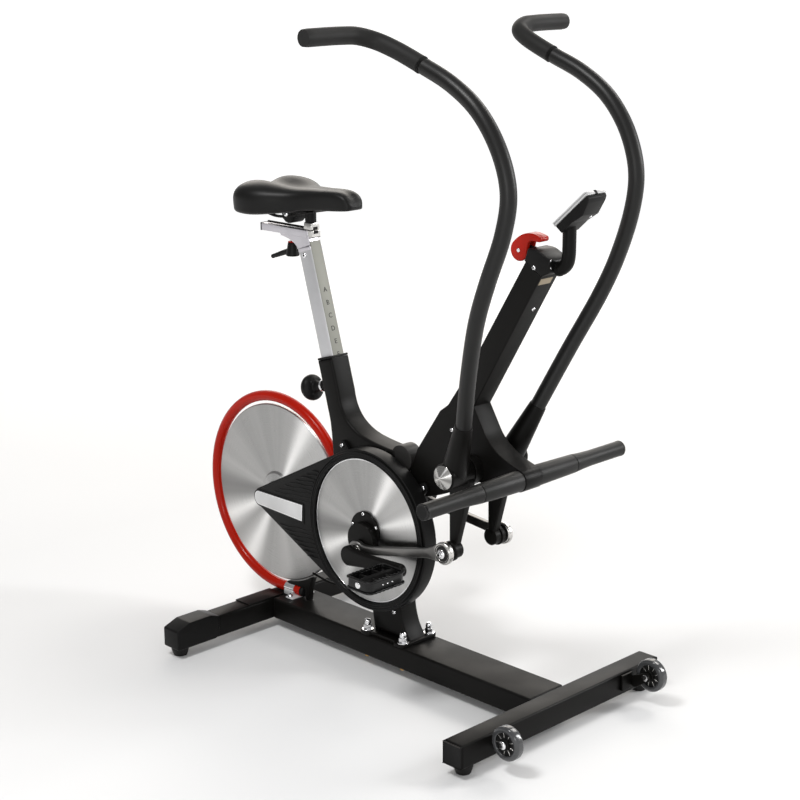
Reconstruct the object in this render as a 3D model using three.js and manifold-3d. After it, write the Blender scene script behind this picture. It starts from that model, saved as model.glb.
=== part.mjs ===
// Air bike: a dual-action exercise bike with a brushed flywheel, swinging handles and foot pegs.
// Millimetres, +Z up, +X towards the front of the bike, +Y to the rider's left.
// The origin is on the floor, under the middle of the bike's box.
import * as THREE from 'three';
import { mergeVertices } from 'three/addons/utils/BufferGeometryUtils.js';
import Module from 'manifold-3d';

const wasm = await Module();
wasm.setup();

// ---- driving dimensions ----
const GAP = 0.3;                                     // clearance between pieces that meet
const TUBE = { bottom: 22, top: 72, side: 50, wall: 3 };      // square floor tubes
const FRONT_BAR = { x: 489, half: 302 };
const REAR_BAR = { x: -350, half: 330, capInner: 211, coreHalf: 300 };
const BEAM_HALF = 52;
const FOOT = { r: 19.5, frontY: 272, rearY: 303, top: 21.9 };
const WHEEL = { x: 558.7, y: 223, z: 68.3, r: 34.8, width: 22, bore: 5.3 };
const CRANK = { x: 10, z: 323 };
const FLYWHEEL = { x: -354, z: 311, r: 208.5, half: 5 };
const ARM_PIVOT = { x: 280, z: 512 };
const LEVER_END = { x: 260, z: 341 };
const PEG_BAR = { x: 401, z: 511.6, half: 295 };
const SEAT = { x: -164, z: 662, lean: 16.2, tubeHalfX: 23, tubeHalfY: 25, postHalfX: 20, postHalfY: 17 };
const POP_PIN_Z = -57;                               // down the seat tube from its top edge
const MAGNET = { pivotX: -116, pivotZ: 262, fromDeg: -38, toDeg: -27, inner: 188, outer: 222 };
const TOWER_HALF = 26;                               // half the width of the tower post
const BODY_HALF = 27;                                // half the width of the cast main frame
const ROD = { crankY: -99, leverY: -89, halfY: 7, pinOffset: 36, pinR: 9, bigEyeR: 22, smallEyeR: 24 };
const PEDAL = { dx: 151, dz: -38, inner: 132, outer: 240, halfX: 36, halfZ: 14 };
const PULLEY = { r: 158, face: 70, discThick: 4, rimInner: 38, smallR: 15, beltThick: 2.4 };
const GUARD = { r: 178, tipR: 22, tipX: -353.5, tipZ: 311.6, outer: 76, inner: 36.5, wall: 3, window: 161 };
const GUARD_LEAN = { fromX: -150, slope: 16 / 202 };  // past fromX the guard's face leans in towards its tip
const RING = { r: 226.7, tubeR: 12, lowDeg: -88, endDeg: -333, tail: 66, clampX: -315, clampHalfY: 19 };
const HANDLE = { tubeR: 16, gripR: 17.5, gripStart: 10 };
const SADDLE = { underside: 984, skirt: 966.5, travel: 40 };

const radians = THREE.MathUtils.degToRad;
const leanSeat = -radians(SEAT.lean);

// ---- materials ----
function paint(color, roughness, metalness) {
  return new THREE.MeshStandardMaterial({ color, roughness, metalness });
}

const powderBlack = paint(0x1b1b1b, 0.45, 0.3);
const plasticBlack = paint(0x141414, 0.5, 0);
const rubber = paint(0x1c1c1d, 0.75, 0);
const steelBrushed = paint(0xb9b7b4, 0.3, 1);
const aluminium = paint(0xb5b5b2, 0.4, 1);
const chrome = paint(0xe6e6e6, 0.12, 1);
const glossRed = paint(0xb8180c, 0.25, 0);
const vinyl = paint(0x1a1a1a, 0.5, 0);
const greyClear = paint(0x6d7176, 0.3, 0);
const whitePanel = paint(0xdedede, 0.35, 0.2);

// ---- solids ----
function toSolid(geometry) {
  const bare = geometry.clone();
  bare.deleteAttribute('normal');
  bare.deleteAttribute('uv');
  const merged = mergeVertices(bare, 1e-4);
  return new wasm.Manifold(new wasm.Mesh({
    numProp: 3,
    vertProperties: new Float32Array(merged.attributes.position.array),
    triVerts: new Uint32Array(merged.index.array),
  }));
}

function toGeometry(solid) {
  const mesh = solid.getMesh();
  const geometry = new THREE.BufferGeometry();
  geometry.setAttribute('position', new THREE.BufferAttribute(new Float32Array(mesh.vertProperties), 3));
  geometry.setIndex(new THREE.BufferAttribute(new Uint32Array(mesh.triVerts), 1));
  geometry.computeVertexNormals();
  return geometry;
}

function join(first, ...others) {
  return toGeometry(others.reduce((sum, other) => sum.add(toSolid(other)), toSolid(first)));
}

function cut(first, ...tools) {
  return toGeometry(tools.reduce((rest, tool) => rest.subtract(toSolid(tool)), toSolid(first)));
}

function box(x0, x1, y0, y1, z0, z1) {
  const geometry = new THREE.BoxGeometry(x1 - x0, y1 - y0, z1 - z0);
  return geometry.translate((x0 + x1) / 2, (y0 + y1) / 2, (z0 + z1) / 2);
}

// A cylinder along Y, from y0 to y1.
function pinY(x, z, r, y0, y1, sides = 12) {
  return new THREE.CylinderGeometry(r, r, y1 - y0, sides).translate(x, (y0 + y1) / 2, z);
}

// A cylinder along Z, from z0 to z1.
function pinZ(x, y, r, z0, z1, sides = 12, topR = r) {
  const geometry = new THREE.CylinderGeometry(topR, r, z1 - z0, sides).rotateX(Math.PI / 2);
  return geometry.translate(x, y, (z0 + z1) / 2);
}

// A turned piece on an axis along Y: the profile is [radius, y] pairs, and it closes itself.
function turned(x, z, profile, segments = 16) {
  const points = profile.map(([r, y]) => new THREE.Vector2(r, y));
  const closed = points[0].x > 0 || points[points.length - 1].x > 0;
  if (closed) points.push(points[0].clone());
  let area = 0;
  points.forEach((p, i) => {
    const q = points[(i + 1) % points.length];
    area += p.x * q.y - q.x * p.y;
  });
  if (area < 0) points.reverse();
  return new THREE.LatheGeometry(points, segments).translate(x, 0, z);
}

// An outline drawn in (x, z), made into a plate that spans y0 to y1.
function plate(shape, y0, y1, bevel = 0, curveSegments = 6) {
  const geometry = new THREE.ExtrudeGeometry(shape, {
    depth: y1 - y0 - 2 * bevel,
    bevelEnabled: bevel > 0,
    bevelThickness: bevel,
    bevelSize: bevel,
    bevelOffset: -bevel,
    bevelSegments: 1,
    curveSegments,
  });
  return geometry.rotateX(Math.PI / 2).translate(0, y1 - bevel, 0);
}

function polygon(points) {
  return new THREE.Shape(points.map(([a, b]) => new THREE.Vector2(a, b)));
}

function roundedRect(halfA, halfB, r) {
  const shape = new THREE.Shape();
  shape.moveTo(halfA - r, -halfB);
  shape.absarc(halfA - r, -halfB + r, r, -Math.PI / 2, 0);
  shape.absarc(halfA - r, halfB - r, r, 0, Math.PI / 2);
  shape.absarc(-halfA + r, halfB - r, r, Math.PI / 2, Math.PI);
  shape.absarc(-halfA + r, -halfB + r, r, Math.PI, 1.5 * Math.PI);
  shape.closePath();
  return shape;
}

// The outline round two circles and their outer tangents.
function capsule(xa, za, ra, xb, zb, rb) {
  const along = Math.atan2(zb - za, xb - xa);
  const spread = Math.acos((ra - rb) / Math.hypot(xb - xa, zb - za));
  const shape = new THREE.Shape();
  shape.absarc(xa, za, ra, along + spread, along - spread + 2 * Math.PI);
  shape.absarc(xb, zb, rb, along - spread, along + spread);
  shape.closePath();
  return shape;
}

// A round bar that follows a curve.
function barAlong(curve, r, steps, sides = 8) {
  const section = new THREE.Shape();
  for (let i = 0; i < sides; i++) {
    const angle = (2 * Math.PI * i) / sides;
    const x = r * Math.cos(angle);
    const y = r * Math.sin(angle);
    if (i === 0) section.moveTo(x, y);
    else section.lineTo(x, y);
  }
  section.closePath();
  return new THREE.ExtrudeGeometry(section, { extrudePath: curve, steps, bevelEnabled: false });
}

// Turns a right-hand piece (y < 0) into its left-hand twin.
function mirrored(geometry) {
  const twin = geometry.clone().scale(1, -1, 1);
  if (!twin.index) twin.setIndex([...Array(twin.attributes.position.count).keys()]);
  const index = twin.index.array;
  for (let i = 0; i < index.length; i += 3) [index[i + 1], index[i + 2]] = [index[i + 2], index[i + 1]];
  twin.computeVertexNormals();
  return twin;
}

const bike = new THREE.Group();

function add(name, geometry, material, parent = bike) {
  const mesh = new THREE.Mesh(geometry, material);
  mesh.name = name;
  parent.add(mesh);
  return mesh;
}

function addPair(name, rightGeometry, material) {
  add(`${name}_right`, rightGeometry, material);
  add(`${name}_left`, mirrored(rightGeometry), material);
}

// ---- floor frame ----
function squareTubeY(x, half) {
  const outer = roundedRect(TUBE.side / 2, TUBE.side / 2, 6);
  const middleZ = (TUBE.bottom + TUBE.top) / 2;
  return plate(outer, -half, half, 0, 3).translate(x, 0, middleZ);
}

function floorFrame() {
  const middleZ = (TUBE.bottom + TUBE.top) / 2;
  const start = REAR_BAR.x + TUBE.side / 2;
  const end = FRONT_BAR.x - TUBE.side / 2;
  const beam = roundedRect(BEAM_HALF, TUBE.side / 2, 6);
  beam.holes.push(roundedRect(BEAM_HALF - TUBE.wall, TUBE.side / 2 - TUBE.wall, 3));
  const extrusion = { depth: end - start, bevelEnabled: false, curveSegments: 3 };
  const beamBody = new THREE.ExtrudeGeometry(beam, extrusion);
  beamBody.rotateX(Math.PI / 2).rotateZ(Math.PI / 2).translate(start, 0, middleZ);
  add('base_beam', beamBody, powderBlack);
  add('front_bar', squareTubeY(FRONT_BAR.x, FRONT_BAR.half), powderBlack);
  const pad = (y0, y1) => box(REAR_BAR.x - 25, REAR_BAR.x + 24, y0, y1, TUBE.top - 1, TUBE.top + 2.5);
  const padInner = RING.clampHalfY + GAP;
  add('rear_bar', join(squareTubeY(REAR_BAR.x, REAR_BAR.coreHalf), pad(-123, -padInner), pad(padInner, 123)),
    powderBlack);

  const capProfile = polygon([
    [-REAR_BAR.half, TUBE.bottom], [-REAR_BAR.half, 70], [-292, 80], [-225, 80],
    [-REAR_BAR.capInner, TUBE.top + 1], [-REAR_BAR.capInner, TUBE.bottom + 4], [-225, TUBE.bottom],
  ]);
  const capHalf = TUBE.side / 2 + 2.5;
  const capBlock = new THREE.ExtrudeGeometry(capProfile, {
    depth: 2 * capHalf - 4,
    bevelEnabled: true,
    bevelThickness: 2,
    bevelSize: 2,
    bevelOffset: -2,
    bevelSegments: 1,
  }).rotateX(Math.PI / 2).rotateZ(Math.PI / 2).translate(REAR_BAR.x - capHalf + 2, 0, 0);
  const pocket = box(REAR_BAR.x - 25 - GAP, REAR_BAR.x + 25 + GAP, -REAR_BAR.coreHalf - GAP, -150,
    TUBE.bottom - 5, TUBE.top + GAP);
  addPair('rear_cap', cut(capBlock, pocket), plasticBlack);

  const ends = {
    front: { x: FRONT_BAR.x, y: FOOT.frontY },
    rear: { x: REAR_BAR.x - 3, y: FOOT.rearY },
  };
  for (const [end, { x, y }] of Object.entries(ends)) {
    const profile = [[0, 0], [17.5, 0], [FOOT.r, 3], [FOOT.r, 13], [14, 17], [14, FOOT.top], [0, FOOT.top]];
    const pad = new THREE.LatheGeometry(profile.map(([r, z]) => new THREE.Vector2(r, z)), 12);
    addPair(`foot_${end}`, pad.rotateX(Math.PI / 2).translate(x, -y, 0), rubber);
  }
}

// ---- transport wheels ----
function transportWheels() {
  const face = FRONT_BAR.x + TUBE.side / 2;
  const inner = -WHEEL.y + WHEEL.width / 2 + 2;
  const bracket = plate(capsule(WHEEL.x, WHEEL.z, 9, face + 13, 50, 12.5), inner, inner + 5, 0, 4);
  const foot = box(face, face + 6, inner, inner + 34, 34, 68);
  const outerEnd = -WHEEL.y - WHEEL.width / 2;
  const axle = pinY(WHEEL.x, WHEEL.z, 5, outerEnd - 2, inner + 2);
  const head = pinY(WHEEL.x, WHEEL.z, 8.5, outerEnd - 7, outerEnd - 1.5);
  addPair('wheel_bracket', join(bracket, foot, axle, head), powderBlack);

  const half = WHEEL.width / 2;
  const y = -WHEEL.y;
  const profile = [
    [WHEEL.bore, y - half], [12, y - half], [13, y - 7], [26, y - 7], [WHEEL.r - 2, y - half],
    [WHEEL.r, y - half + 4], [WHEEL.r, y + half - 4], [WHEEL.r - 2, y + half],
    [26, y + 7], [13, y + 7], [12, y + half], [WHEEL.bore, y + half],
  ];
  addPair('transport_wheel', turned(WHEEL.x, WHEEL.z, profile, 20), greyClear);
}

// ---- main frame: seat tube, cast body, lower post, flywheel fork ----
const seatAxis = new THREE.Vector2(Math.sin(leanSeat), Math.cos(leanSeat));

function seatLocal(geometry) {
  return geometry.rotateY(leanSeat).translate(SEAT.x, 0, SEAT.z);
}

function mainFrame() {
  const edge = (side, along) => [
    SEAT.x + side * SEAT.tubeHalfX * seatAxis.y + along * seatAxis.x,
    SEAT.z - side * SEAT.tubeHalfX * seatAxis.x + along * seatAxis.y,
  ];
  const body = new THREE.Shape();
  body.moveTo(...edge(-1, 0));
  body.lineTo(...edge(1, 0));
  body.lineTo(...edge(1, -78));
  body.quadraticCurveTo(-110, 522, -22, 508);
  body.quadraticCurveTo(14, 502, 52, 500);
  body.lineTo(57, 440);
  body.lineTo(68, 300);
  body.lineTo(65, 158);
  body.lineTo(95, 80 + GAP);
  body.lineTo(-14, 80 + GAP);
  body.lineTo(-22, 130);
  body.lineTo(-96, 142);
  body.lineTo(-126, 165);
  body.lineTo(-134, 300);
  body.quadraticCurveTo(-140, 480, -150, 530);
  body.lineTo(...edge(-1, -78));
  body.closePath();
  const slab = plate(body, -BODY_HALF, BODY_HALF, 3, 5);
  const lug = pinY(70, 486, 30, -24, 12, 16);
  const shell = pinY(CRANK.x, CRANK.z, 34, -32.7, 60, 20);
  const fork = plate(capsule(-60, 318, 34, FLYWHEEL.x, FLYWHEEL.z, 24), 26, 33, 0, 5);
  const forkRight = mirrored(fork);
  const bore = seatLocal(box(-SEAT.postHalfX - 2, SEAT.postHalfX + 2, -SEAT.postHalfY - 2, SEAT.postHalfY + 2,
    -300, 20));
  const axleHole = pinY(FLYWHEEL.x, FLYWHEEL.z, 13, -50, 50);
  const crankHole = pinY(CRANK.x, CRANK.z, 22, -80, 80, 16);
  const pinHole = seatLocal(new THREE.CylinderGeometry(7, 7, 60, 10).rotateZ(Math.PI / 2)
    .translate(-40, 0, POP_PIN_Z));
  const barrel = seatLocal(new THREE.CylinderGeometry(12, 12, 24, 12).rotateZ(Math.PI / 2)
    .translate(-SEAT.tubeHalfX - 10, 0, POP_PIN_Z));
  const magnetClevis = box(-142, -95, -9, 9, 200, 300);
  add('main_frame', cut(join(slab, lug, shell, fork, forkRight, barrel), bore, axleHole, crankHole, pinHole,
    magnetClevis), powderBlack);

  const rim = roundedRect(SEAT.tubeHalfX + 1, SEAT.tubeHalfY + 1, 5);
  rim.holes.push(roundedRect(SEAT.postHalfX + 0.4, SEAT.postHalfY + 0.4, 3));
  const rimBody = new THREE.ExtrudeGeometry(rim, { depth: 5, bevelEnabled: false, curveSegments: 2 })
    .translate(0, 0, GAP);
  const liner = roundedRect(SEAT.postHalfX + 1.7, SEAT.postHalfY + 1.7, 1);
  liner.holes.push(roundedRect(SEAT.postHalfX + 0.4, SEAT.postHalfY + 0.4, 1));
  const linerBody = new THREE.ExtrudeGeometry(liner, { depth: 42, bevelEnabled: false, curveSegments: 1 })
    .translate(0, 0, -40);
  add('seat_collar', seatLocal(join(rimBody, linerBody)), plasticBlack);

  const lobes = [[-20, -40], [-20, 40], [90, -40], [90, 40]];
  let flange = box(-22, 96, -44, 44, TUBE.top, 80);
  for (const [x, y] of lobes) {
    const nut = pinZ(x, y, 9, 79, 90, 6);
    const dome = pinZ(x, y, 6.5, 89, 98, 8, 3.5);
    flange = join(flange, pinZ(x, y, 14, TUBE.top, 80, 10), nut, dome);
  }
  add('base_plate', flange, powderBlack);
}

// ---- tower and front bracket ----
function towerAndBracket() {
  const bracket = polygon([
    [246, 684], [208, 631], [186, 615], [120, 519], [104, 480], [104, 420], [113, 416],
    [164, 424], [238, 454.5], [286, 484.5], [385, 494], [401, 494],
  ]);
  bracket.absarc(PEG_BAR.x, PEG_BAR.z, 23, -Math.PI / 2, Math.PI / 2.4);
  bracket.quadraticCurveTo(330, 553, 306, 598);
  bracket.lineTo(280, 641);
  bracket.closePath();
  const web = plate(bracket, -25.5, 25.5, 2, 5);
  const boss = pinY(ARM_PIVOT.x, ARM_PIVOT.z, 30, -46, 46, 16);
  const pivotHole = pinY(ARM_PIVOT.x, ARM_PIVOT.z, 12.05, -60, 60, 16);
  const barHole = pinY(PEG_BAR.x, PEG_BAR.z, 19, -60, 60, 16);
  const link = polygon([[98, 478], [140, 500], [140, 430], [66, 424], [72, 444], [98, 452]]);
  const lugHole = pinY(70, 486, 30 + GAP, -60, 60, 16);
  add('front_bracket', cut(join(web, boss, plate(link, -20, 20)), pivotHole, barHole, lugHole), powderBlack);

  const towerShape = polygon([[246.5, 684.8], [281, 642], [453, 929.6], [412, 953.4]]);
  add('tower_post', plate(towerShape, -TOWER_HALF, TOWER_HALF, 2), powderBlack);
  add('pivot_shaft', pivotShaft(), chrome);
}

// The steel shaft that both handles turn on, with a conical cap at each end.
function pivotShaft() {
  const end = 113;
  const profile = [[0, end + 11], [3, end + 11], [25, end + 1], [25, end], [12, end], [12, -end], [25, -end],
    [25, -end - 1], [3, -end - 11], [0, -end - 11]];
  return turned(ARM_PIVOT.x, ARM_PIVOT.z, profile);
}

function pegBar() {
  const core = 18.7;
  const half = PEG_BAR.half;
  const bar = turned(PEG_BAR.x, PEG_BAR.z, [
    [0, half - 6], [13, half - 6], [13, 138], [core, 138],
    [core, -138], [13, -138], [13, -half + 6], [0, -half + 6],
  ]);
  add('peg_bar', bar, powderBlack);
  const grip = turned(PEG_BAR.x, PEG_BAR.z, [
    [0, -half], [13, -half], [16.5, -half + 4], [16.5, -160],
    [19.5, -138.5], [13.3, -138.5], [13.3, -half + 5.7], [0, -half + 5.7],
  ]);
  addPair('peg_grip', grip, rubber);
}

// ---- belt guard ----
function guardOutline(inset = 0) {
  return capsule(CRANK.x, CRANK.z, GUARD.r - inset, GUARD.tipX, GUARD.tipZ, GUARD.tipR - inset);
}

// Everything outside the guard's leaning face, moved inwards by an inset.
function beyondLean(inset) {
  const { fromX, slope } = GUARD_LEAN;
  const y = -GUARD.outer + inset;
  const farX = GUARD.tipX - 50;
  const plan = polygon([[fromX, y], [farX, y + (fromX - farX) * slope], [farX, y - 30], [fromX, y - 30]]);
  return new THREE.ExtrudeGeometry(plan, { depth: 500, bevelEnabled: false }).translate(0, 0, 100);
}

function beltGuard() {
  const outer = plate(guardOutline(), -GUARD.outer, -GUARD.inner, 3, 14);
  const cavity = plate(guardOutline(GUARD.wall), -GUARD.outer + GUARD.wall, -GUARD.inner + 5, 0, 14);
  const opening = pinY(CRANK.x, CRANK.z, GUARD.window, -GUARD.outer - 5, -GUARD.outer + 10, 32);
  const shell = cut(outer, beyondLean(0));
  add('belt_guard', cut(shell, cut(cavity, beyondLean(GUARD.wall)), opening), plasticBlack);

  const back = plate(guardOutline(GUARD.wall + 1), -GUARD.inner - 0.2, -33 - GAP, 0, 10);
  const crankHole = pinY(CRANK.x, CRANK.z, 40, -60, 0, 16);
  const axleHole = pinY(FLYWHEEL.x, FLYWHEEL.z, 30, -60, 0, 12);
  add('guard_back', cut(back, crankHole, axleHole), plasticBlack);

  const badge = new THREE.Shape();
  badge.absarc(GUARD.tipX, GUARD.tipZ, 17, Math.PI / 2, 1.5 * Math.PI);
  badge.lineTo(-193.5, 296.7);
  badge.lineTo(-191.3, 334.7);
  badge.closePath();
  const badgeBody = plate(badge, -GUARD.outer - 2 - GAP, -GUARD.outer - GAP);
  const { fromX, slope } = GUARD_LEAN;
  const leanIn = new THREE.Matrix4().set(1, 0, 0, 0, -slope, 1, 0, slope * fromX, 0, 0, 1, 0, 0, 0, 0, 1);
  add('nameplate', badgeBody.applyMatrix4(leanIn), whitePanel);
}

// ---- crank, pulley and belt ----
function pinDirection() {
  const along = Math.atan2(LEVER_END.z - CRANK.z, LEVER_END.x - CRANK.x);
  return { x: Math.sin(along), z: -Math.cos(along) };
}

function rightCrankPin() {
  const aim = pinDirection();
  return { x: CRANK.x + ROD.pinOffset * aim.x, z: CRANK.z + ROD.pinOffset * aim.z };
}

// Turns a right-hand crank piece half a turn and mirrors it, which makes the left-hand one.
function oppositeCrank(geometry) {
  const turnedPiece = geometry.clone().translate(-CRANK.x, 0, -CRANK.z).rotateY(Math.PI)
    .translate(CRANK.x, 0, CRANK.z);
  return mirrored(turnedPiece);
}

function drive() {
  add('crank_spindle', pinY(CRANK.x, CRANK.z, 10, -PULLEY.face, PULLEY.face), steelBrushed);
  add('crank_bearing', turned(CRANK.x, CRANK.z, [
    [10.3, -30], [21.7, -30], [21.7, 56], [10.3, 56],
  ]), steelBrushed);

  const face = -PULLEY.face;
  add('drive_pulley', turned(CRANK.x, CRANK.z, [
    [10.3, face], [PULLEY.r, face], [PULLEY.r, -PULLEY.rimInner - 3], [PULLEY.r - 5, -PULLEY.rimInner - 3],
    [PULLEY.r - 5, face + PULLEY.discThick], [20, face + PULLEY.discThick], [20, -36], [10.3, -36],
  ], 32), steelBrushed);

  add('flywheel_pulley', turned(FLYWHEEL.x, FLYWHEEL.z, [
    [10.3, -54.5], [PULLEY.smallR, -54.5], [PULLEY.smallR, -41], [10.3, -41],
  ]), aluminium);
  const beltLoop = (lift) => capsule(CRANK.x, CRANK.z, PULLEY.r + 2 + lift, FLYWHEEL.x, FLYWHEEL.z,
    PULLEY.smallR + 0.3 + lift);
  const belt = beltLoop(PULLEY.beltThick);
  belt.holes.push(beltLoop(0));
  add('drive_belt', plate(belt, -54, -42, 0, 16), rubber);

  // Flange and eccentric hub that carry the rod's crank pin and the pedal arm.
  const pin = rightCrankPin();
  const rodIn = ROD.crankY + ROD.halfY;
  const rodOut = ROD.crankY - ROD.halfY;
  const hubShape = capsule(CRANK.x, CRANK.z, 36, (CRANK.x + pin.x) / 2, (CRANK.z + pin.z) / 2, 41);
  const flange = pinY(CRANK.x, CRANK.z, 43, -PULLEY.face - 5, -PULLEY.face - 0.1, 20);
  const hub = plate(hubShape, rodIn + 2, -PULLEY.face - 4);
  const core = pinY(CRANK.x, CRANK.z, 7, rodOut - 2, rodIn + 3);
  const rightHub = join(flange, hub, core);
  add('eccentric_hub_right', rightHub, powderBlack);
  add('eccentric_hub_left', oppositeCrank(rightHub), powderBlack);

  const armIn = rodOut - 2;
  const pedalAt = { x: CRANK.x + PEDAL.dx, z: CRANK.z + PEDAL.dz };
  const web = plate(capsule(CRANK.x, CRANK.z, 13, pin.x, pin.z - 6, 20), armIn - 4, armIn);
  const bar = plate(capsule(pin.x - 4, pin.z - 8, 22, pedalAt.x, pedalAt.z, 14), armIn - 18, armIn - 2, 2, 5);
  const axle = pinY(pedalAt.x, pedalAt.z, 6, -PEDAL.outer + 8, armIn - 17);
  const hubClear = pinY(CRANK.x, CRANK.z, 7 + GAP, armIn - 1, armIn + 6);
  const rightArm = cut(join(web, bar, axle), hubClear);
  add('crank_arm_right', rightArm, powderBlack);
  add('crank_arm_left', oppositeCrank(rightArm), powderBlack);
  const rightPedal = pedal();
  add('pedal_right', rightPedal, plasticBlack);
  add('pedal_left', oppositeCrank(rightPedal), plasticBlack);
}

// A cage pedal: a barrel round the axle, end plates and a toothed frame.
function pedal() {
  const x = CRANK.x + PEDAL.dx;
  const z = CRANK.z + PEDAL.dz;
  const { inner, outer, halfX, halfZ } = PEDAL;
  const cage = roundedRect(halfX, (outer - inner) / 2, 14);
  cage.holes.push(roundedRect(halfX - 7, (outer - inner) / 2 - 8, 8));
  const middleY = -(inner + outer) / 2;
  const frame = new THREE.ExtrudeGeometry(cage, { depth: 2 * halfZ, bevelEnabled: false, curveSegments: 3 })
    .translate(x, middleY, z - halfZ);
  const barrel = pinY(x, z, 11, -outer + 6, -inner - 2);
  const ribs = [-18, 18].map((dy) => box(x - halfX + 4, x + halfX - 4, middleY + dy - 3, middleY + dy + 3,
    z - halfZ + 4, z + halfZ - 4));
  const axleHole = pinY(x, z, 6.5, -outer + 7.5, -inner + 5);
  return cut(join(frame, barrel, ...ribs), axleHole);
}

// The rod from the crank pin to the handle's lever; the pin is one with the rod.
// Its two eyes lie in different planes, so the shaft between them leans in Y.
function connectingRods() {
  const pin = rightCrankPin();
  const lean = (ROD.leverY - ROD.crankY) / (LEVER_END.x - pin.x);
  const leanOut = new THREE.Matrix4().set(1, 0, 0, 0, lean, 1, 0, -lean * pin.x, 0, 0, 1, 0, 0, 0, 0, 1);
  const outline = capsule(pin.x, pin.z, 10, LEVER_END.x, LEVER_END.z, 12);
  const shaft = plate(outline, ROD.crankY - 5, ROD.crankY + 5, 2, 4).applyMatrix4(leanOut);
  const eye = (at, r, y, sides) => pinY(at.x, at.z, r, y - ROD.halfY + GAP, y + ROD.halfY - GAP, sides);
  const bore = pinY(LEVER_END.x, LEVER_END.z, 16, ROD.leverY - 12, ROD.leverY + 12, 16);
  const crankPin = pinY(pin.x, pin.z, ROD.pinR, ROD.crankY - 8.4, ROD.crankY + 8.4);
  const rightRod = cut(join(shaft, eye(pin, ROD.bigEyeR, ROD.crankY, 16),
    eye(LEVER_END, ROD.smallEyeR, ROD.leverY, 20), crankPin), bore);
  add('conn_rod_right', rightRod, steelBrushed);
  add('conn_rod_left', leftRod(rightRod, pin), steelBrushed);
}

// The left rod is the right one mirrored and turned about the lever's end to meet the opposite crank pin.
function leftRod(rightRod, pin) {
  const opposite = { x: 2 * CRANK.x - pin.x, z: 2 * CRANK.z - pin.z };
  const before = Math.atan2(pin.z - LEVER_END.z, pin.x - LEVER_END.x);
  const after = Math.atan2(opposite.z - LEVER_END.z, opposite.x - LEVER_END.x);
  const swung = rightRod.clone().translate(-LEVER_END.x, 0, -LEVER_END.z).rotateY(before - after)
    .translate(LEVER_END.x, 0, LEVER_END.z);
  return mirrored(swung);
}

// ---- swinging handles ----
const handlePoints = [
  [333, -110, 628], [381, -148, 749], [432, -181, 866], [464, -189, 940], [499, -186, 1034],
  [510, -184, 1099], [503, -184, 1146], [477, -185, 1203], [432, -185, 1256], [369, -184, 1296],
  [291, -183, 1327], [222, -189, 1354], [188, -204, 1368], [172, -234, 1377], [168, -270, 1379],
  [168, -364, 1379],
];

class Stretch extends THREE.Curve {
  constructor(base, from, to) {
    super();
    this.base = base;
    this.from = from;
    this.to = to;
  }

  getPoint(t, target = new THREE.Vector3()) {
    return this.base.getPoint(this.from + (this.to - this.from) * t, target);
  }
}

function handles() {
  const vertices = handlePoints.map((p) => new THREE.Vector3(...p));
  const path = new THREE.CatmullRomCurve3(vertices, false, 'centripetal');
  const gripAt = HANDLE.gripStart / (handlePoints.length - 1);
  const tube = barAlong(new Stretch(path, 0.002, gripAt - 0.001), HANDLE.tubeR, 24);
  addPair('handle_tube', tube, powderBlack);
  const grip = barAlong(new Stretch(path, gripAt, 1), HANDLE.gripR, 14);
  addPair('hand_grip', grip, rubber);

  // Hub on the pivot shaft, cone that takes the tube, and lever down to the rod.
  const foot = new THREE.Vector3(ARM_PIVOT.x, -81, ARM_PIVOT.z);
  const joint = new THREE.Vector3(...handlePoints[0]);
  const height = foot.distanceTo(joint) - 1;
  const upright = new THREE.Quaternion().setFromUnitVectors(new THREE.Vector3(0, 1, 0),
    joint.clone().sub(foot).normalize());
  const cone = new THREE.CylinderGeometry(17.5, 28, height, 12).translate(0, height / 2, 0)
    .applyQuaternion(upright).translate(foot.x, foot.y, foot.z);
  const barrel = pinY(ARM_PIVOT.x, ARM_PIVOT.z, 27.5, -112, -48, 16);
  const leverShape = capsule(ARM_PIVOT.x, ARM_PIVOT.z - 20, 28, LEVER_END.x + 2, LEVER_END.z + 15, 9);
  const lever = plate(leverShape, -67, -49, 2, 5);
  const onPin = (r, y0, y1, sides) => pinY(LEVER_END.x, LEVER_END.z, r, y0, y1, sides);
  const rodIn = ROD.leverY + ROD.halfY;
  const rodOut = ROD.leverY - ROD.halfY;
  const bore = pinY(ARM_PIVOT.x, ARM_PIVOT.z, 12.5, -130, -30, 16);
  const ends = [
    onPin(18, -67, -49, 16),
    onPin(17, rodIn + GAP, -66, 12),
    onPin(15.6, rodOut - 1, rodIn + 1, 16),
    onPin(8, rodOut - 4, rodOut, 8),
  ];
  addPair('handle_hub', cut(join(barrel, cone, lever, ...ends), bore), powderBlack);
}

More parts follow.
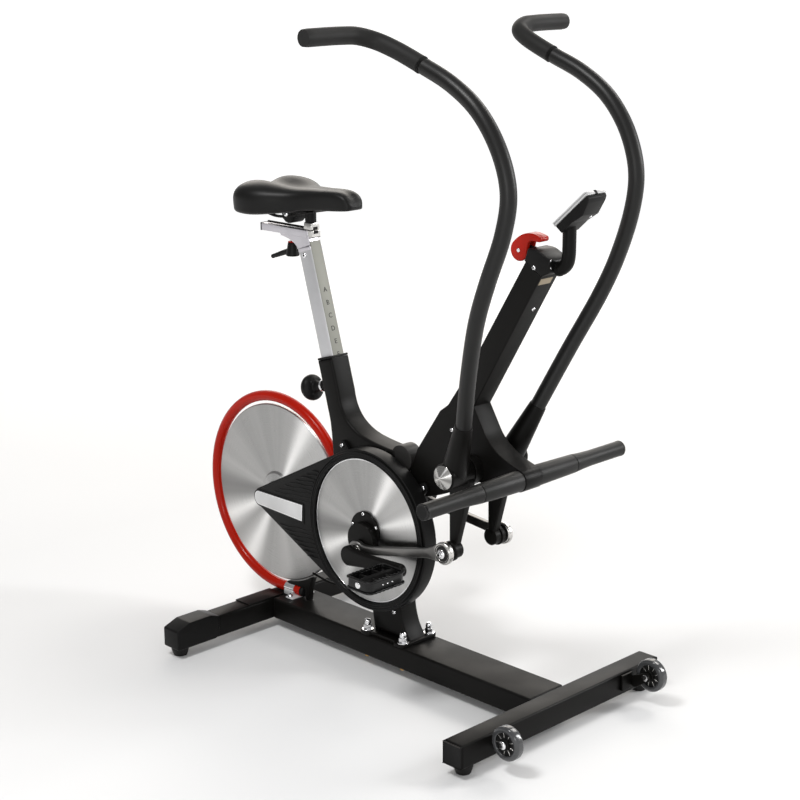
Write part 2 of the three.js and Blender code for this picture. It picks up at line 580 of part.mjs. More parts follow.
// ---- flywheel, magnets and guard ring ----
function flywheelGroup() {
  const { x, z, r, half } = FLYWHEEL;
  add('flywheel', turned(x, z, [
    [10.3, -22], [28, -22], [50, -half], [r, -half], [r, half], [50, half], [28, 22], [10.3, 22],
  ], 40), steelBrushed);
  add('flywheel_axle', join(pinY(x, z, 10, -54.4, 44), pinY(x, z, 12.5, 34, 40, 6)), steelBrushed);

  addGuardRing();

  // Magnet block astride the rim, on an arm that pivots in the cast body.
  const blockShape = new THREE.Shape();
  blockShape.absarc(x, z, MAGNET.outer, radians(MAGNET.fromDeg), radians(MAGNET.toDeg));
  blockShape.absarc(x, z, MAGNET.inner, radians(MAGNET.toDeg), radians(MAGNET.fromDeg), true);
  blockShape.closePath();
  const magnets = plate(blockShape, -20, 20, 0, 4);
  const { pivotX, pivotZ } = MAGNET;
  const arm = plate(capsule(pivotX, pivotZ, 11, pivotX - 55, pivotZ - 67.6, 8), -8, 8, 0, 5);
  const slot = turned(x, z, [[150, -half - 2], [212, -half - 2], [212, half + 2], [150, half + 2]], 40);
  add('magnet_caliper', cut(join(magnets, arm), slot, pinY(pivotX, pivotZ, 5.3, -20, 20)), powderBlack);
  add('magnet_pivot_pin', pinY(pivotX, pivotZ, 5, -8.6, 8.6), steelBrushed);
}

// The hoop's centre line: a straight tail near the floor, then an arc round the back to the cast body.
class HoopPath extends THREE.Curve {
  getPoint(t, target = new THREE.Vector3()) {
    const sweep = radians(RING.lowDeg - RING.endDeg);
    const along = t * (RING.tail + RING.r * sweep);
    const angle = radians(RING.lowDeg) - Math.max(0, along - RING.tail) / RING.r;
    const tailLeft = Math.max(0, RING.tail - along);
    return target.set(
      FLYWHEEL.x + RING.r * Math.cos(angle) - tailLeft * Math.sin(angle),
      0,
      FLYWHEEL.z + RING.r * Math.sin(angle) + tailLeft * Math.cos(angle),
    );
  }
}

// The hoop, and its block on the floor frame. A wedge on the block's foot follows the flywheel's rim.
function addGuardRing() {
  add('guard_ring', barAlong(new HoopPath(), RING.tubeR, 40), glossRed);

  const lift = GAP;
  const block = box(RING.clampX - 18, RING.clampX + 18, -RING.clampHalfY, RING.clampHalfY, TUBE.top, 94);
  const foot = box(RING.clampX, -246, -8, 8, TUBE.top + lift, TUBE.top + 4);
  const wedgeShape = new THREE.Shape();
  wedgeShape.absarc(FLYWHEEL.x, FLYWHEEL.z, FLYWHEEL.r + 2.5, radians(-82), radians(-58));
  wedgeShape.lineTo(-238, 130);
  wedgeShape.lineTo(-246, 104);
  wedgeShape.lineTo(-246, TUBE.top + lift);
  wedgeShape.lineTo(-266, TUBE.top + lift);
  wedgeShape.lineTo(-266, 100.3);
  wedgeShape.lineTo(-324, 98.8);
  wedgeShape.closePath();
  const wedge = plate(wedgeShape, -8, 8, 0, 8);
  const seat = barAlong(new HoopPath(), RING.tubeR + 0.6, 40);
  add('ring_clamp', cut(join(block, foot, wedge), seat), chrome);
}

// ---- seat ----
function seat() {
  const post = roundedRect(SEAT.postHalfX, SEAT.postHalfY, 3);
  post.holes.push(roundedRect(SEAT.postHalfX - 3, SEAT.postHalfY - 3, 1));
  const top = 248;
  const bottom = -150;
  const tube = new THREE.ExtrudeGeometry(post, { depth: top - bottom, bevelEnabled: false, curveSegments: 2 })
    .translate(0, 0, bottom);
  const holes = [...Array(6).keys()].map((i) => new THREE.CylinderGeometry(6.5, 6.5, 12, 8)
    .rotateZ(Math.PI / 2).translate(-SEAT.postHalfX, 0, 100 - 27 * i));
  add('seat_post', seatLocal(cut(tube, ...holes)), aluminium);

  // Pop pin in its barrel on the back of the seat tube.
  const knobProfile = [
    [0, 104], [14, 104], [25, 100], [29.5, 92], [29, 84], [22, 77],
    [12, 73], [11, 46], [5.5, 46], [5.5, 24], [0, 24],
  ];
  const knob = new THREE.LatheGeometry(knobProfile.map(([r, d]) => new THREE.Vector2(r, d)).reverse(), 16)
    .rotateZ(Math.PI / 2).translate(0, 0, POP_PIN_Z);
  add('pop_pin', seatLocal(knob), plasticBlack);

  // Slide head on the post: level tube to the rear with a gusset, level with the floor.
  const head = new THREE.Shape();
  head.moveTo(-377, 921);
  head.lineTo(-377, 937.5);
  head.lineTo(-222, 937.5);
  head.lineTo(-210, 906);
  head.lineTo(-258, 892);
  head.quadraticCurveTo(-272, 912, -312, 916);
  head.lineTo(-316, 921);
  head.closePath();
  const headBody = plate(head, -16, 16, 1.5, 4);
  const postCut = seatLocal(box(-SEAT.postHalfX - GAP, SEAT.postHalfX + GAP, -20, 20, 0, top + GAP));
  const studSlot = box(-290 - SADDLE.travel - 5.3, -290 + 5.3, -5.3, 5.3, 880, 950);
  add('seat_slide', cut(headBody, postCut, studSlot), chrome);

  // Carriage that the saddle is clamped to, and its locking lever below.
  const rail = box(-352, -218, -9, 9, 938, 943);
  const slider = box(-239, -218, -13, 13, 938, 954);
  const clamp = box(-306, -258, -20, 20, 950, SADDLE.underside - GAP);
  const neck = pinZ(-229, 0, 12, 950, SADDLE.underside - GAP);
  const yoke = box(-280, -229, -11, 11, 953, 975);
  const stud = pinZ(-290, 0, 5, 900, 942);
  add('saddle_carriage', join(rail, slider, clamp, neck, yoke, stud), powderBlack);
  const knobBody = pinZ(-290, 0, 15, 872, 904, 14, 11);
  const handle = plate(capsule(-292, 884, 7, -357, 862, 5), -5, 5, 0, 3);
  add('clamp_lever', cut(join(knobBody, handle), pinZ(-290, 0, 5 + GAP, 899, 910)), plasticBlack);
  add('saddle', saddle(), vinyl);
}

// Plain saddle: two rounded lobes at the back and a blunt nose.
function saddle() {
  const plan = new THREE.Shape();
  plan.absarc(-340, 54, 50, 0.7, Math.PI - 0.25);
  plan.quadraticCurveTo(-384, 0, -388.4, -66.4);
  plan.absarc(-340, -54, 50, Math.PI + 0.25, 2 * Math.PI - 0.7);
  plan.bezierCurveTo(-262, -60, -240, -34, -125, -29);
  plan.absarc(-112.5, 0, 28.5, -Math.PI / 2, Math.PI / 2);
  plan.bezierCurveTo(-240, 34, -262, 60, -301.8, 86.2);
  plan.closePath();
  const high = new THREE.ExtrudeGeometry(plan, { depth: 90, bevelEnabled: false, curveSegments: 5 })
    .translate(0, 0, 960);
  const side = polygon([
    [-392, 980], [-392, 1018], [-373, 1040], [-330, 1040], [-270, 1030],
    [-182, 1031], [-147, 1033], [-123, 1033], [-98, 1025], [-84, 1000], [-87, 992.5],
    [-161, 988], [-213, 984], [-236, 978], [-277, 972.6],
    [-332, SADDLE.skirt], [-385, SADDLE.skirt],
  ]);
  const belly = box(-318, -210, -27, 27, 960, SADDLE.underside);
  return toGeometry(toSolid(high).intersect(toSolid(plate(side, -120, 120))).subtract(toSolid(belly)));
}

// ---- head, shift lever and console ----
function controls() {
  const block = polygon([
    [419, 984.5], [462, 977.5], [473, 972], [475, 960], [470, 938], [454, 930], [410, 955], [415, 968],
  ]);
  const ear = capsule(384, 971, 11, 425, 968, 11);
  const pivotHole = pinY(384, 971, 4.3, -10, 10);
  const blockBody = plate(block, -TOWER_HALF - 1, TOWER_HALF + 1, 2);
  const body = join(blockBody, plate(ear, -4.5, 4.5, 0, 4));
  add('head_block', cut(body, pivotHole), plasticBlack);
  const lever = new THREE.Shape();
  lever.absarc(384, 971, 21.5, -0.35, -1.5 * Math.PI - 0.3, true);
  lever.quadraticCurveTo(400, 1005, 420, 1006);
  lever.lineTo(433, 1005);
  lever.absarc(434, 999.5, 5.5, Math.PI / 2, -Math.PI / 2, true);
  lever.lineTo(424, 994);
  lever.quadraticCurveTo(412, 993, 410, 985);
  lever.closePath();
  const slotEnds = [[440, 958, 26], [415, 913, 18]];
  const slots = slotEnds.map((far) => plate(capsule(384, 971, 14, ...far), -5, 5, 0, 4));
  const leverBody = cut(plate(lever, -13, 13, 1.5, 4), ...slots, box(404, 480, -30, 30, 900, 985));
  add('shift_lever', join(leverBody, pinY(384, 971, 4, -14, 14)), glossRed);

  const stemPoints = [[475.5, 943], [488, 950], [497, 966], [499.5, 984], [499.5, 1016]]
    .map(([x, z]) => new THREE.Vector3(x, 0, z));
  const stem = barAlong(new THREE.CatmullRomCurve3(stemPoints, false, 'centripetal'), 14, 8, 10);
  add('console_stem', cut(stem, blockBody.clone().translate(GAP, 0, 0)), powderBlack);
  const consoleBody = polygon([
    [484.5, 1035], [558, 1100.5], [565, 1091], [563, 1083], [549, 1057], [524, 1041], [500, 1019.5],
  ]);
  const socket = polygon([[484, 1018], [515, 1018], [532, 1046], [494, 1036]]);
  add('console', join(plate(consoleBody, -29, 29, 2), plate(socket, -17, 17, 1)), plasticBlack);
}

floorFrame();
transportWheels();
mainFrame();
towerAndBracket();
pegBar();
beltGuard();
drive();
connectingRods();
handles();
flywheelGroup();
seat();
controls();

export default bike;
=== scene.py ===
"""Air bike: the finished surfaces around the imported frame.

Lengths are millimetres. Front is +X, left is +Y, and points given as pairs are (x, z).
"""
import math

import bmesh
import bpy
from mathutils import Matrix, Vector


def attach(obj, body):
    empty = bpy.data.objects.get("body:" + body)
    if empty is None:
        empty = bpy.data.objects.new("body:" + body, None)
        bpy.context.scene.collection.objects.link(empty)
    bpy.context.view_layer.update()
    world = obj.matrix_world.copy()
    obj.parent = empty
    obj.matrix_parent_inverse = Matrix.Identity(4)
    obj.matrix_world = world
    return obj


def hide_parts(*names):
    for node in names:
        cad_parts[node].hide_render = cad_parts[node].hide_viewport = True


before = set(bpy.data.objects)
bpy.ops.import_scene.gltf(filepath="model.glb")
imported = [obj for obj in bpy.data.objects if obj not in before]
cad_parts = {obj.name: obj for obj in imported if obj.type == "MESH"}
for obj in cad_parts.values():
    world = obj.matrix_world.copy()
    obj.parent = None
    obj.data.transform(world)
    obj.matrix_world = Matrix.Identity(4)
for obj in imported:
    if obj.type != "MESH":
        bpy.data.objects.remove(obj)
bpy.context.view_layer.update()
MM = 0.001
HANDS = (("right", -1), ("left", 1))

# ---- driving dimensions, the same as the CAD part's ----
CRANK = (10, 323)
FLYWHEEL = (-354, 311)
PIVOT = (280, 512)
LEVER_END = (260, 341)
PEG = (401, 511.6)
WHEEL = (558.7, 68.3)
SEAT = Vector((-164, 0, 662))
SEAT_LEAN = math.radians(16.2)
SEAT_UP = Vector((-math.sin(SEAT_LEAN), 0, math.cos(SEAT_LEAN)))
SEAT_FRONT = Vector((math.cos(SEAT_LEAN), 0, math.sin(SEAT_LEAN)))
ROD = {"crank_y": 99, "lever_y": 89, "pin_offset": 36}
GUARD = {"r": 178, "tip_r": 22, "tip": (-353.5, 311.6), "open_r": 161, "back": 38, "face": 76,
         "lean_from": -150, "slope": 16 / 202}
PEDAL = (161, 285)
SHIFT = (384, 971)
CLAMP_AXIS = (-290, 0, 0)
SADDLE_CLAMP = (-283, 0, 966)
SADDLE_UNDERSIDE = 984
CONSOLE = Vector((484.5, 0, 1035))
PIN_Z = -57  # the pop pin's height along the seat tube, from its top
LEFT = Vector((0, 1, 0))
UP = Vector((0, 0, 1))


# ---- materials ----
class Graph:
    """Adds nodes to a node tree."""

    def __init__(self, tree):
        self.tree = tree

    def add(self, kind, inputs=(), out=0, **settings):
        """Makes a node, gives each of its inputs a value or a link, and returns one of its outputs."""
        node = self.tree.nodes.new(kind)
        for name, value in settings.items():
            setattr(node, name, value)
        for key, value in inputs.items() if isinstance(inputs, dict) else enumerate(inputs):
            if isinstance(value, bpy.types.NodeSocket):
                self.link(value, node.inputs[key])
            else:
                node.inputs[key].default_value = value
        return node.outputs[out]

    def link(self, value, socket):
        self.tree.links.new(value, socket)

    def place(self, kind="Object"):
        return self.add("ShaderNodeTexCoord", out=kind)

    def maths(self, operation, *values):
        return self.add("ShaderNodeMath", values, operation=operation)

    def noise(self, scale, detail=3.0, vector=None):
        inputs = {"Scale": scale, "Detail": detail, "Vector": vector or self.place()}
        return self.add("ShaderNodeTexNoise", inputs, "Fac")

    def remap(self, value, low, high, start=0.35, end=0.65):
        inputs = {"Value": value, "From Min": start, "From Max": end, "To Min": low, "To Max": high}
        return self.add("ShaderNodeMapRange", inputs, "Result")

    def tint(self, shader, factor, dark, light):
        color = self.add("ShaderNodeValToRGB", (factor,), "Color")
        for stop, position, shade in zip(color.node.color_ramp.elements, (0.3, 0.7), (dark, light)):
            stop.position, stop.color = position, (*shade, 1)
        self.link(color, shader.inputs["Base Color"])

    def bump(self, shader, height, strength, distance=0.0004):
        inputs = {"Strength": strength, "Distance": distance, "Height": height}
        self.link(self.add("ShaderNodeBump", inputs, "Normal"), shader.inputs["Normal"])


def new_material(name, color, roughness, metallic=0.0, **sockets):
    mat = bpy.data.materials.new(name)
    mat.use_nodes = True
    shader = mat.node_tree.nodes["Principled BSDF"]
    sockets.update(Base_Color=(*color, 1), Roughness=roughness, Metallic=metallic)
    for socket, value in sockets.items():
        shader.inputs[socket.replace("_", " ")].default_value = value
    return mat, Graph(mat.node_tree), shader


def coated(name, color, roughness, spread, grain, strength, metallic=0.0, mottle=9.0, **sockets):
    """A surface with a slow change of tone and gloss over it and a fine grain in its relief."""
    mat, graph, shader = new_material(name, color, roughness, metallic, **sockets)
    slow = graph.noise(mottle)
    graph.tint(shader, slow, [0.86 * c for c in color], [1.14 * c for c in color])
    graph.link(graph.remap(slow, roughness - spread, roughness + spread), shader.inputs["Roughness"])
    graph.bump(shader, graph.noise(grain, 2.0), strength)
    return mat


# Painted highlight fans (positive gain) and painted shade fans (negative gain) in a turned disc's colour:
# where they point in degrees, how narrow they are, and how much they add.
PAINTED_LIGHT_FANS = ((60, 110, 0.85), (21, 140, 0.66), (44, 8, 0.1), (-7, 30, -0.4), (130, 10, -0.12),
        (240, 110, 0.72), (208, 140, 0.75), (186, 34, -0.36))


def turned_metal(name, centre, color, roughness):
    """Metal brushed in circles about an axis along Y; its colour carries faint painted light streaks from a
    noise round the axis, and painted highlight and shade fans.
    """
    mat, graph, shader = new_material(name, color, roughness, 1.0, Anisotropic=0.85,
                                      Anisotropic_Rotation=0.25)
    maths = graph.maths
    middle = (centre[0] * MM, 0, centre[1] * MM)
    offset = graph.add("ShaderNodeVectorMath", (graph.place(), middle), operation="SUBTRACT")
    split = graph.add("ShaderNodeSeparateXYZ", (offset,)).node.outputs
    angle = maths("ARCTAN2", split["Z"], split["X"])
    squares = [maths("MULTIPLY", split[k], split[k]) for k in "XZ"]
    radius = maths("SQRT", maths("ADD", *squares))
    fine, long = maths("MULTIPLY", radius, 1500.0), maths("MULTIPLY", angle, 2.0)
    brushed = graph.noise(1.0, 4.0, graph.add("ShaderNodeCombineXYZ", (fine, long)))
    # painted light: a soft noise round the axis scales the colour into faint streaks
    around = graph.add("ShaderNodeCombineXYZ", (maths("COSINE", angle), maths("SINE", angle)))
    shade = graph.remap(graph.noise(2.2, 3.0, around), 0.66, 0.86)
    # painted highlight fans and painted shade fans scale the colour further
    for degrees, sharpness, gain in PAINTED_LIGHT_FANS:
        swing = maths("MAXIMUM", maths("COSINE", maths("SUBTRACT", angle, math.radians(degrees))), 0)
        shade = maths("ADD", shade, maths("MULTIPLY", maths("POWER", swing, sharpness), gain))
    scaled = graph.add("ShaderNodeVectorMath", {0: color, "Scale": shade}, operation="SCALE")
    graph.link(scaled, shader.inputs["Base Color"])
    graph.link(graph.remap(brushed, roughness - 0.03, roughness + 0.04), shader.inputs["Roughness"])
    graph.bump(shader, brushed, 0.04, 0.0002)
    tangent = graph.add("ShaderNodeTangent", direction_type="RADIAL", axis="Y")
    graph.link(tangent, shader.inputs["Tangent"])
    return mat


POWDER = coated("powder_black", (0.0042, 0.0039, 0.0035), 0.4, 0.05, 900, 0.12, Specular_IOR_Level=0.11)
PLASTIC = coated("moulded_black", (0.0052, 0.0051, 0.005), 0.42, 0.06, 700, 0.16, Specular_IOR_Level=0.13)
SATIN = coated("satin_black", (0.0046, 0.0044, 0.0041), 0.42, 0.02, 900, 0.06, Specular_IOR_Level=0.32)
PEG_COAT = coated("peg_coat", (0.0075, 0.0073, 0.0068), 0.44, 0.03, 800, 0.1, Specular_IOR_Level=0.22)
CAP_GREY = coated("cap_grey", (0.026, 0.025, 0.024), 0.45, 0.05, 700, 0.1, Specular_IOR_Level=0.2)
GLOSS = coated("gloss_black", (0.0034, 0.0034, 0.0034), 0.18, 0.04, 300, 0.06, Specular_IOR_Level=0.3)
RUBBER = coated("grip_rubber", (0.013, 0.0127, 0.0123), 0.52, 0.08, 420, 0.25, Specular_IOR_Level=0.17)
VINYL = coated("saddle_vinyl", (0.0045, 0.0044, 0.0042), 0.41, 0.04, 520, 0.2, Specular_IOR_Level=0.2)
RED = coated("gloss_red", (0.36, 0.0085, 0.0018), 0.24, 0.02, 60, 0.04, mottle=2.0, Specular_IOR_Level=0.1,
             Coat_Weight=0.1, Coat_Roughness=0.06)
FORGED = coated("forged_grey", (0.23, 0.225, 0.218), 0.38, 0.05, 500, 0.1, metallic=1.0)
STEEL = coated("bright_steel", (0.55, 0.54, 0.52), 0.24, 0.06, 300, 0.06, metallic=1.0)
CHROME = coated("chrome", (0.8, 0.8, 0.81), 0.1, 0.03, 40, 0.02, metallic=1.0)
BEZEL = coated("bezel_silver", (0.5, 0.5, 0.5), 0.32, 0.04, 400, 0.04, metallic=0.3)
HEAD_METAL = coated("head_alloy", (0.55, 0.535, 0.565), 0.34, 0.05, 300, 0.05, metallic=1.0)
ALLOY = coated("satin_alloy", (0.5, 0.5, 0.51), 0.38, 0.04, 600, 0.08, metallic=0.9)
# The seat post's front strip: its darker olive tone is a painted reflection; the letters on it are print
SCALE_FACE_PAINTED_REFLECTION = coated("scale_face_painted_reflection", (0.19, 0.19, 0.165), 0.5, 0.05, 600, 0.1, metallic=0.3)
BRASS = coated("brass", (0.6, 0.36, 0.12), 0.3, 0.05, 300, 0.05, metallic=1.0)
SMOKE = coated("smoked_wheel", (0.045, 0.046, 0.048), 0.16, 0.04, 200, 0.05, Coat_Weight=0.3)
PLATE = coated("plate_white", (0.56, 0.56, 0.56), 0.3, 0.04, 500, 0.04, metallic=0.2)
LABEL = coated("label_tan", (0.25, 0.2, 0.13), 0.4, 0.05, 300, 0.05)
SCREEN = coated("screen_grey", (0.16, 0.18, 0.16), 0.16, 0.03, 300, 0.02, Coat_Weight=0.6)
# Dark ink for letters and dark parts; also painted shade in screw sockets and the seat post's holes
INK_AND_PAINTED_SHADE = coated("ink_and_painted_shade", (0.006, 0.006, 0.006), 0.6, 0.05, 300, 0.05, Specular_IOR_Level=0.2)
WHEEL_METAL = turned_metal("flywheel_brushed_painted_fans", FLYWHEEL, (0.6, 0.597, 0.59), 0.3)
DISC_METAL = turned_metal("disc_brushed_painted_fans", CRANK, (0.6, 0.597, 0.59), 0.3)
CAP_METAL = turned_metal("cap_brushed_painted_fans", PIVOT, (0.66, 0.65, 0.63), 0.22)

FINISHES = {
    "powder_black": (POWDER, SATIN, GLOSS),
    "moulded_black": (PLASTIC, CAP_GREY, LABEL, INK_AND_PAINTED_SHADE),
    "grip_rubber": (RUBBER, PEG_COAT),
    "saddle_cover": (VINYL,),
    "gloss_red": (RED,),
    "brushed_steel": (FORGED, STEEL, BRASS, DISC_METAL),
    "chrome": (CHROME, HEAD_METAL, CAP_METAL),
    "alloy": (ALLOY, SCALE_FACE_PAINTED_REFLECTION, WHEEL_METAL),
    "plate_white": (BEZEL, PLATE, SCREEN),
    "wheel_grey": (SMOKE,),
}
SLOTS = {mat: slot for slot, mats in FINISHES.items() for mat in mats}


# ---- building ----
def add(name, mesh, mat, body, replaces=(), sharp_deg=35):
    """Scales a mesh to metres, tidies it, and puts it on its body."""
    work = bmesh.new()
    work.from_mesh(mesh)
    bmesh.ops.scale(work, vec=(MM, MM, MM), verts=work.verts)
    bmesh.ops.remove_doubles(work, verts=work.verts, dist=1e-6)
    bmesh.ops.recalc_face_normals(work, faces=work.faces)
    work.to_mesh(mesh)
    work.free()
    mesh.shade_smooth()
    mesh.set_sharp_from_angle(angle=math.radians(sharp_deg))
    mesh.materials.append(mat)
    obj = bpy.data.objects.new(name, mesh)
    bpy.context.scene.collection.objects.link(obj)
    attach(obj, body)
    if replaces:
        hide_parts(*replaces)
    return obj


def eased(points, radius, steps=4, closed=True):
    """Rounds each corner of a line of 2-D points; a corner given as (a, b, r) has its own radius."""
    out = []
    count = len(points)
    for i, corner in enumerate(points):
        here = Vector(corner[:2])
        reach = corner[2] if len(corner) > 2 else radius
        if reach <= 0 or (not closed and i in (0, count - 1)):
            out.append(tuple(here))
            continue
        before = Vector(points[i - 1][:2]) - here
        after = Vector(points[(i + 1) % count][:2]) - here
        reach = min(reach, 0.48 * before.length, 0.48 * after.length)
        start, end = here + before.normalized() * reach, here + after.normalized() * reach
        for k in range(steps + 1):
            t = k / steps
            out.append(tuple(start * (1 - t) ** 2 + here * 2 * t * (1 - t) + end * t * t))
    return out


def bar(r, low, high):
    """The profile of a plain turned bar."""
    return [(0, low), (r, low), (r, high), (0, high)]


def sleeve(inner, outer, low, high):
    """The profile of a plain turned ring."""
    return [(inner, low), (outer, low), (outer, high), (inner, high)]


def placed(origin, first, third, second=LEFT):
    """The place at an origin whose axes point along three directions."""
    return Matrix.Translation(origin) @ Matrix((first, second, third)).transposed().to_4x4()


def arc(x, z, r, start_deg, end_deg, steps=24):
    angles = [math.radians(start_deg + (end_deg - start_deg) * k / steps) for k in range(steps + 1)]
    return [(x + r * math.cos(a), z + r * math.sin(a)) for a in angles]


def circle(x, z, r, steps):
    return arc(x, z, r, 360, 0, steps)[:-1]


def curve(start, pull, end, steps=16):
    """The points between two ends of a curve that leans towards a third point, without the ends."""
    start, pull, end = Vector(start), Vector(pull), Vector(end)
    ts = [k / steps for k in range(1, steps)]
    return [tuple(start * (1 - t) ** 2 + pull * 2 * t * (1 - t) + end * t * t) for t in ts]


def capsule(a, ra, b, rb, steps=28):
    """The outline round two circles and their outer tangents."""
    (xa, za), (xb, zb) = a, b
    along = math.degrees(math.atan2(zb - za, xb - xa))
    spread = math.degrees(math.acos((ra - rb) / math.hypot(xb - xa, zb - za)))
    return (arc(xa, za, ra, along + spread, along - spread + 360, steps)
            + arc(xb, zb, rb, along - spread, along + spread, steps))


def plate(name, outline, y0, y1, mat, body, bevel=1.5, holes=(), replaces=(), warp=None):
    """An outline in (x, z), with holes, made into a plate from y0 to y1 with rounded edges."""
    shape = bpy.data.curves.new(name, "CURVE")
    shape.dimensions = "2D"
    shape.fill_mode = "BOTH"
    for loop in (outline, *holes):
        spline = shape.splines.new("POLY")
        spline.points.add(len(loop) - 1)
        for point, (x, z) in zip(spline.points, loop):
            point.co = (x, z, 0, 1)
        spline.use_cyclic_u = True
    shape.extrude = abs(y1 - y0) / 2 - bevel
    shape.bevel_depth = bevel
    shape.bevel_resolution = 3
    shape.offset = -bevel
    holder = bpy.data.objects.new(name, shape)
    mesh = bpy.data.meshes.new_from_object(holder)
    bpy.data.objects.remove(holder)
    bpy.data.curves.remove(shape)
    mesh.transform(Matrix.Translation((0, (y0 + y1) / 2, 0)) @ Matrix.Rotation(math.pi / 2, 4, "X"))
    if warp:
        for vertex in mesh.vertices:
            vertex.co = warp(vertex.co)
    return add(name, mesh, mat, body, replaces)


def lathe(name, profile, origin, toward, mat, body, sides=64, ease=0.8, replaces=(), sharp_deg=35):
    """Turns (radius, height) points about the line from origin towards a direction."""
    closed = profile[0][0] > 0
    line = eased(profile, ease, closed=closed)
    place = Matrix.Translation(origin) @ Vector(toward).to_track_quat("Z", "Y").to_matrix().to_4x4()
    verts, rings = [], []
    for r, h in line:
        if r < 1e-6:
            rings.append([len(verts)] * sides)
            verts.append(place @ Vector((0, 0, h)))
            continue
        rings.append(list(range(len(verts), len(verts) + sides)))
        for k in range(sides):
            a = 2 * math.pi * k / sides
            verts.append(place @ Vector((r * math.cos(a), r * math.sin(a), h)))
    faces = []
    pairs = list(zip(rings, rings[1:])) + ([(rings[-1], rings[0])] if closed else [])
    for low, high in pairs:
        for k in range(sides):
            corners = [low[k], low[(k + 1) % sides], high[(k + 1) % sides], high[k]]
            faces.append(list(dict.fromkeys(corners)))
    mesh = bpy.data.meshes.new(name)
    mesh.from_pydata(verts, [], [f for f in faces if len(f) > 2])
    return add(name, mesh, mat, body, replaces, sharp_deg)


def spun(name, profile, at, side, mat, body, **options):
    """A lathe about an axis along Y, where heights are distances from the middle plane on one side."""
    return lathe(name, profile, (at[0], 0, at[1]), (0, side, 0), mat, body, **options)


def tube(name, points, radius, mat, body, sides=40, round_ends=False, replaces=()):
    """Sweeps a circle along points; radius is a number, or a function of the fraction along."""
    points = [Vector(p) for p in points]
    grow = radius if callable(radius) else lambda t: radius
    count = len(points)
    stations = [(p, grow(i / (count - 1))) for i, p in enumerate(points)]
    if round_ends:
        first = (points[0] - points[1]).normalized()
        last = (points[-1] - points[-2]).normalized()
        steps = [math.radians(a) for a in (15, 30, 45, 60, 75, 86)]
        r0, r1 = stations[0][1], stations[-1][1]
        head = [(points[0] + first * r0 * math.sin(a), r0 * math.cos(a)) for a in reversed(steps)]
        tail = [(points[-1] + last * r1 * math.sin(a), r1 * math.cos(a)) for a in steps]
        stations = head + stations + tail
    verts, normal = [], None
    for i, (point, r) in enumerate(stations):
        before, after = stations[max(i - 1, 0)][0], stations[min(i + 1, len(stations) - 1)][0]
        direction = (after - before).normalized()
        if normal is None:
            normal = direction.orthogonal().normalized()
        normal = (normal - direction * normal.dot(direction)).normalized()
        other = direction.cross(normal)
        for k in range(sides):
            a = 2 * math.pi * k / sides
            verts.append(point + (normal * math.cos(a) + other * math.sin(a)) * r)
    faces = []
    for i in range(len(stations) - 1):
        for k in range(sides):
            n = (k + 1) % sides
            faces.append([i * sides + k, i * sides + n, (i + 1) * sides + n, (i + 1) * sides + k])
    faces += [list(range(sides)), list(range(len(verts) - sides, len(verts)))]
    mesh = bpy.data.meshes.new(name)
    mesh.from_pydata(verts, [], faces)
    return add(name, mesh, mat, body, replaces)


def box(a, b):
    """The low and the high corner of the box between two points."""
    return [min(pair) for pair in zip(a, b)], [max(pair) for pair in zip(a, b)]


def slab(name, low, high, mat, body, bevel=2.0, place=None, replaces=(), taper=None):
    """A box with rounded edges; place moves it, and taper reshapes its corners first."""
    work = bmesh.new()
    bmesh.ops.create_cube(work, size=1)
    low, high = Vector(low), Vector(high)
    for vertex in work.verts:
        vertex.co = Vector([lo + (c + 0.5) * (hi - lo) for lo, c, hi in zip(low, vertex.co, high)])
        if taper:
            vertex.co = taper(vertex.co)
    bmesh.ops.bevel(work, geom=work.edges[:], offset=bevel, segments=4, profile=0.5, affect="EDGES")
    mesh = bpy.data.meshes.new(name)
    work.to_mesh(mesh)
    work.free()
    if place:
        mesh.transform(place)
    return add(name, mesh, mat, body, replaces)


def screw(name, origin, toward, r, body, height=None):
    """A button-head screw; its hexagon socket is a dark hexagon standing just proud of the head, painted
    shade in place of a recess.
    """
    height = height or 0.6 * r
    lathe(name, [(0, -0.5), (r, -0.5), (r, 0.35 * height), (0.72 * r, 0.85 * height), (0, height)],
          origin, toward, CHROME, body, sides=28, ease=0.25 * r)
    # painted shade: a dark hexagon slightly proud of the head stands for the socket's recess
    socket = bar(0.42 * r, height - 0.4, height + 0.06)
    lathe(name + "_socket_painted_shade", socket, origin, toward, INK_AND_PAINTED_SHADE, body, sides=6, ease=0)


def screw_pair(name, x, y, z, r, body, height=None):
    """The same screw on both sides of the middle plane."""
    screw(name, (x, -y, z), -LEFT, r, body, height)
    screw(name + "_far", (x, y, z), LEFT, r, body, height)


def acorn_nut(name, origin, body, r=9.0):
    """A dome nut on a washer, standing up."""
    parts = (
        ("_washer", bar(1.45 * r, 0, 2), 32, 0.5),
        ("", [(0, 1.9), (r, 1.9), (r, 11), (0.86 * r, 12.5), (0, 12.5)], 6, 0.6),
        ("_dome", [(0, 12), (0.84 * r, 12), (0.84 * r, 18), (0.66 * r, 24), (0, 25)], 28, 2.2),
    )
    for part, profile, sides, ease in parts:
        lathe(name + part, profile, origin, UP, CHROME, body, sides, ease)


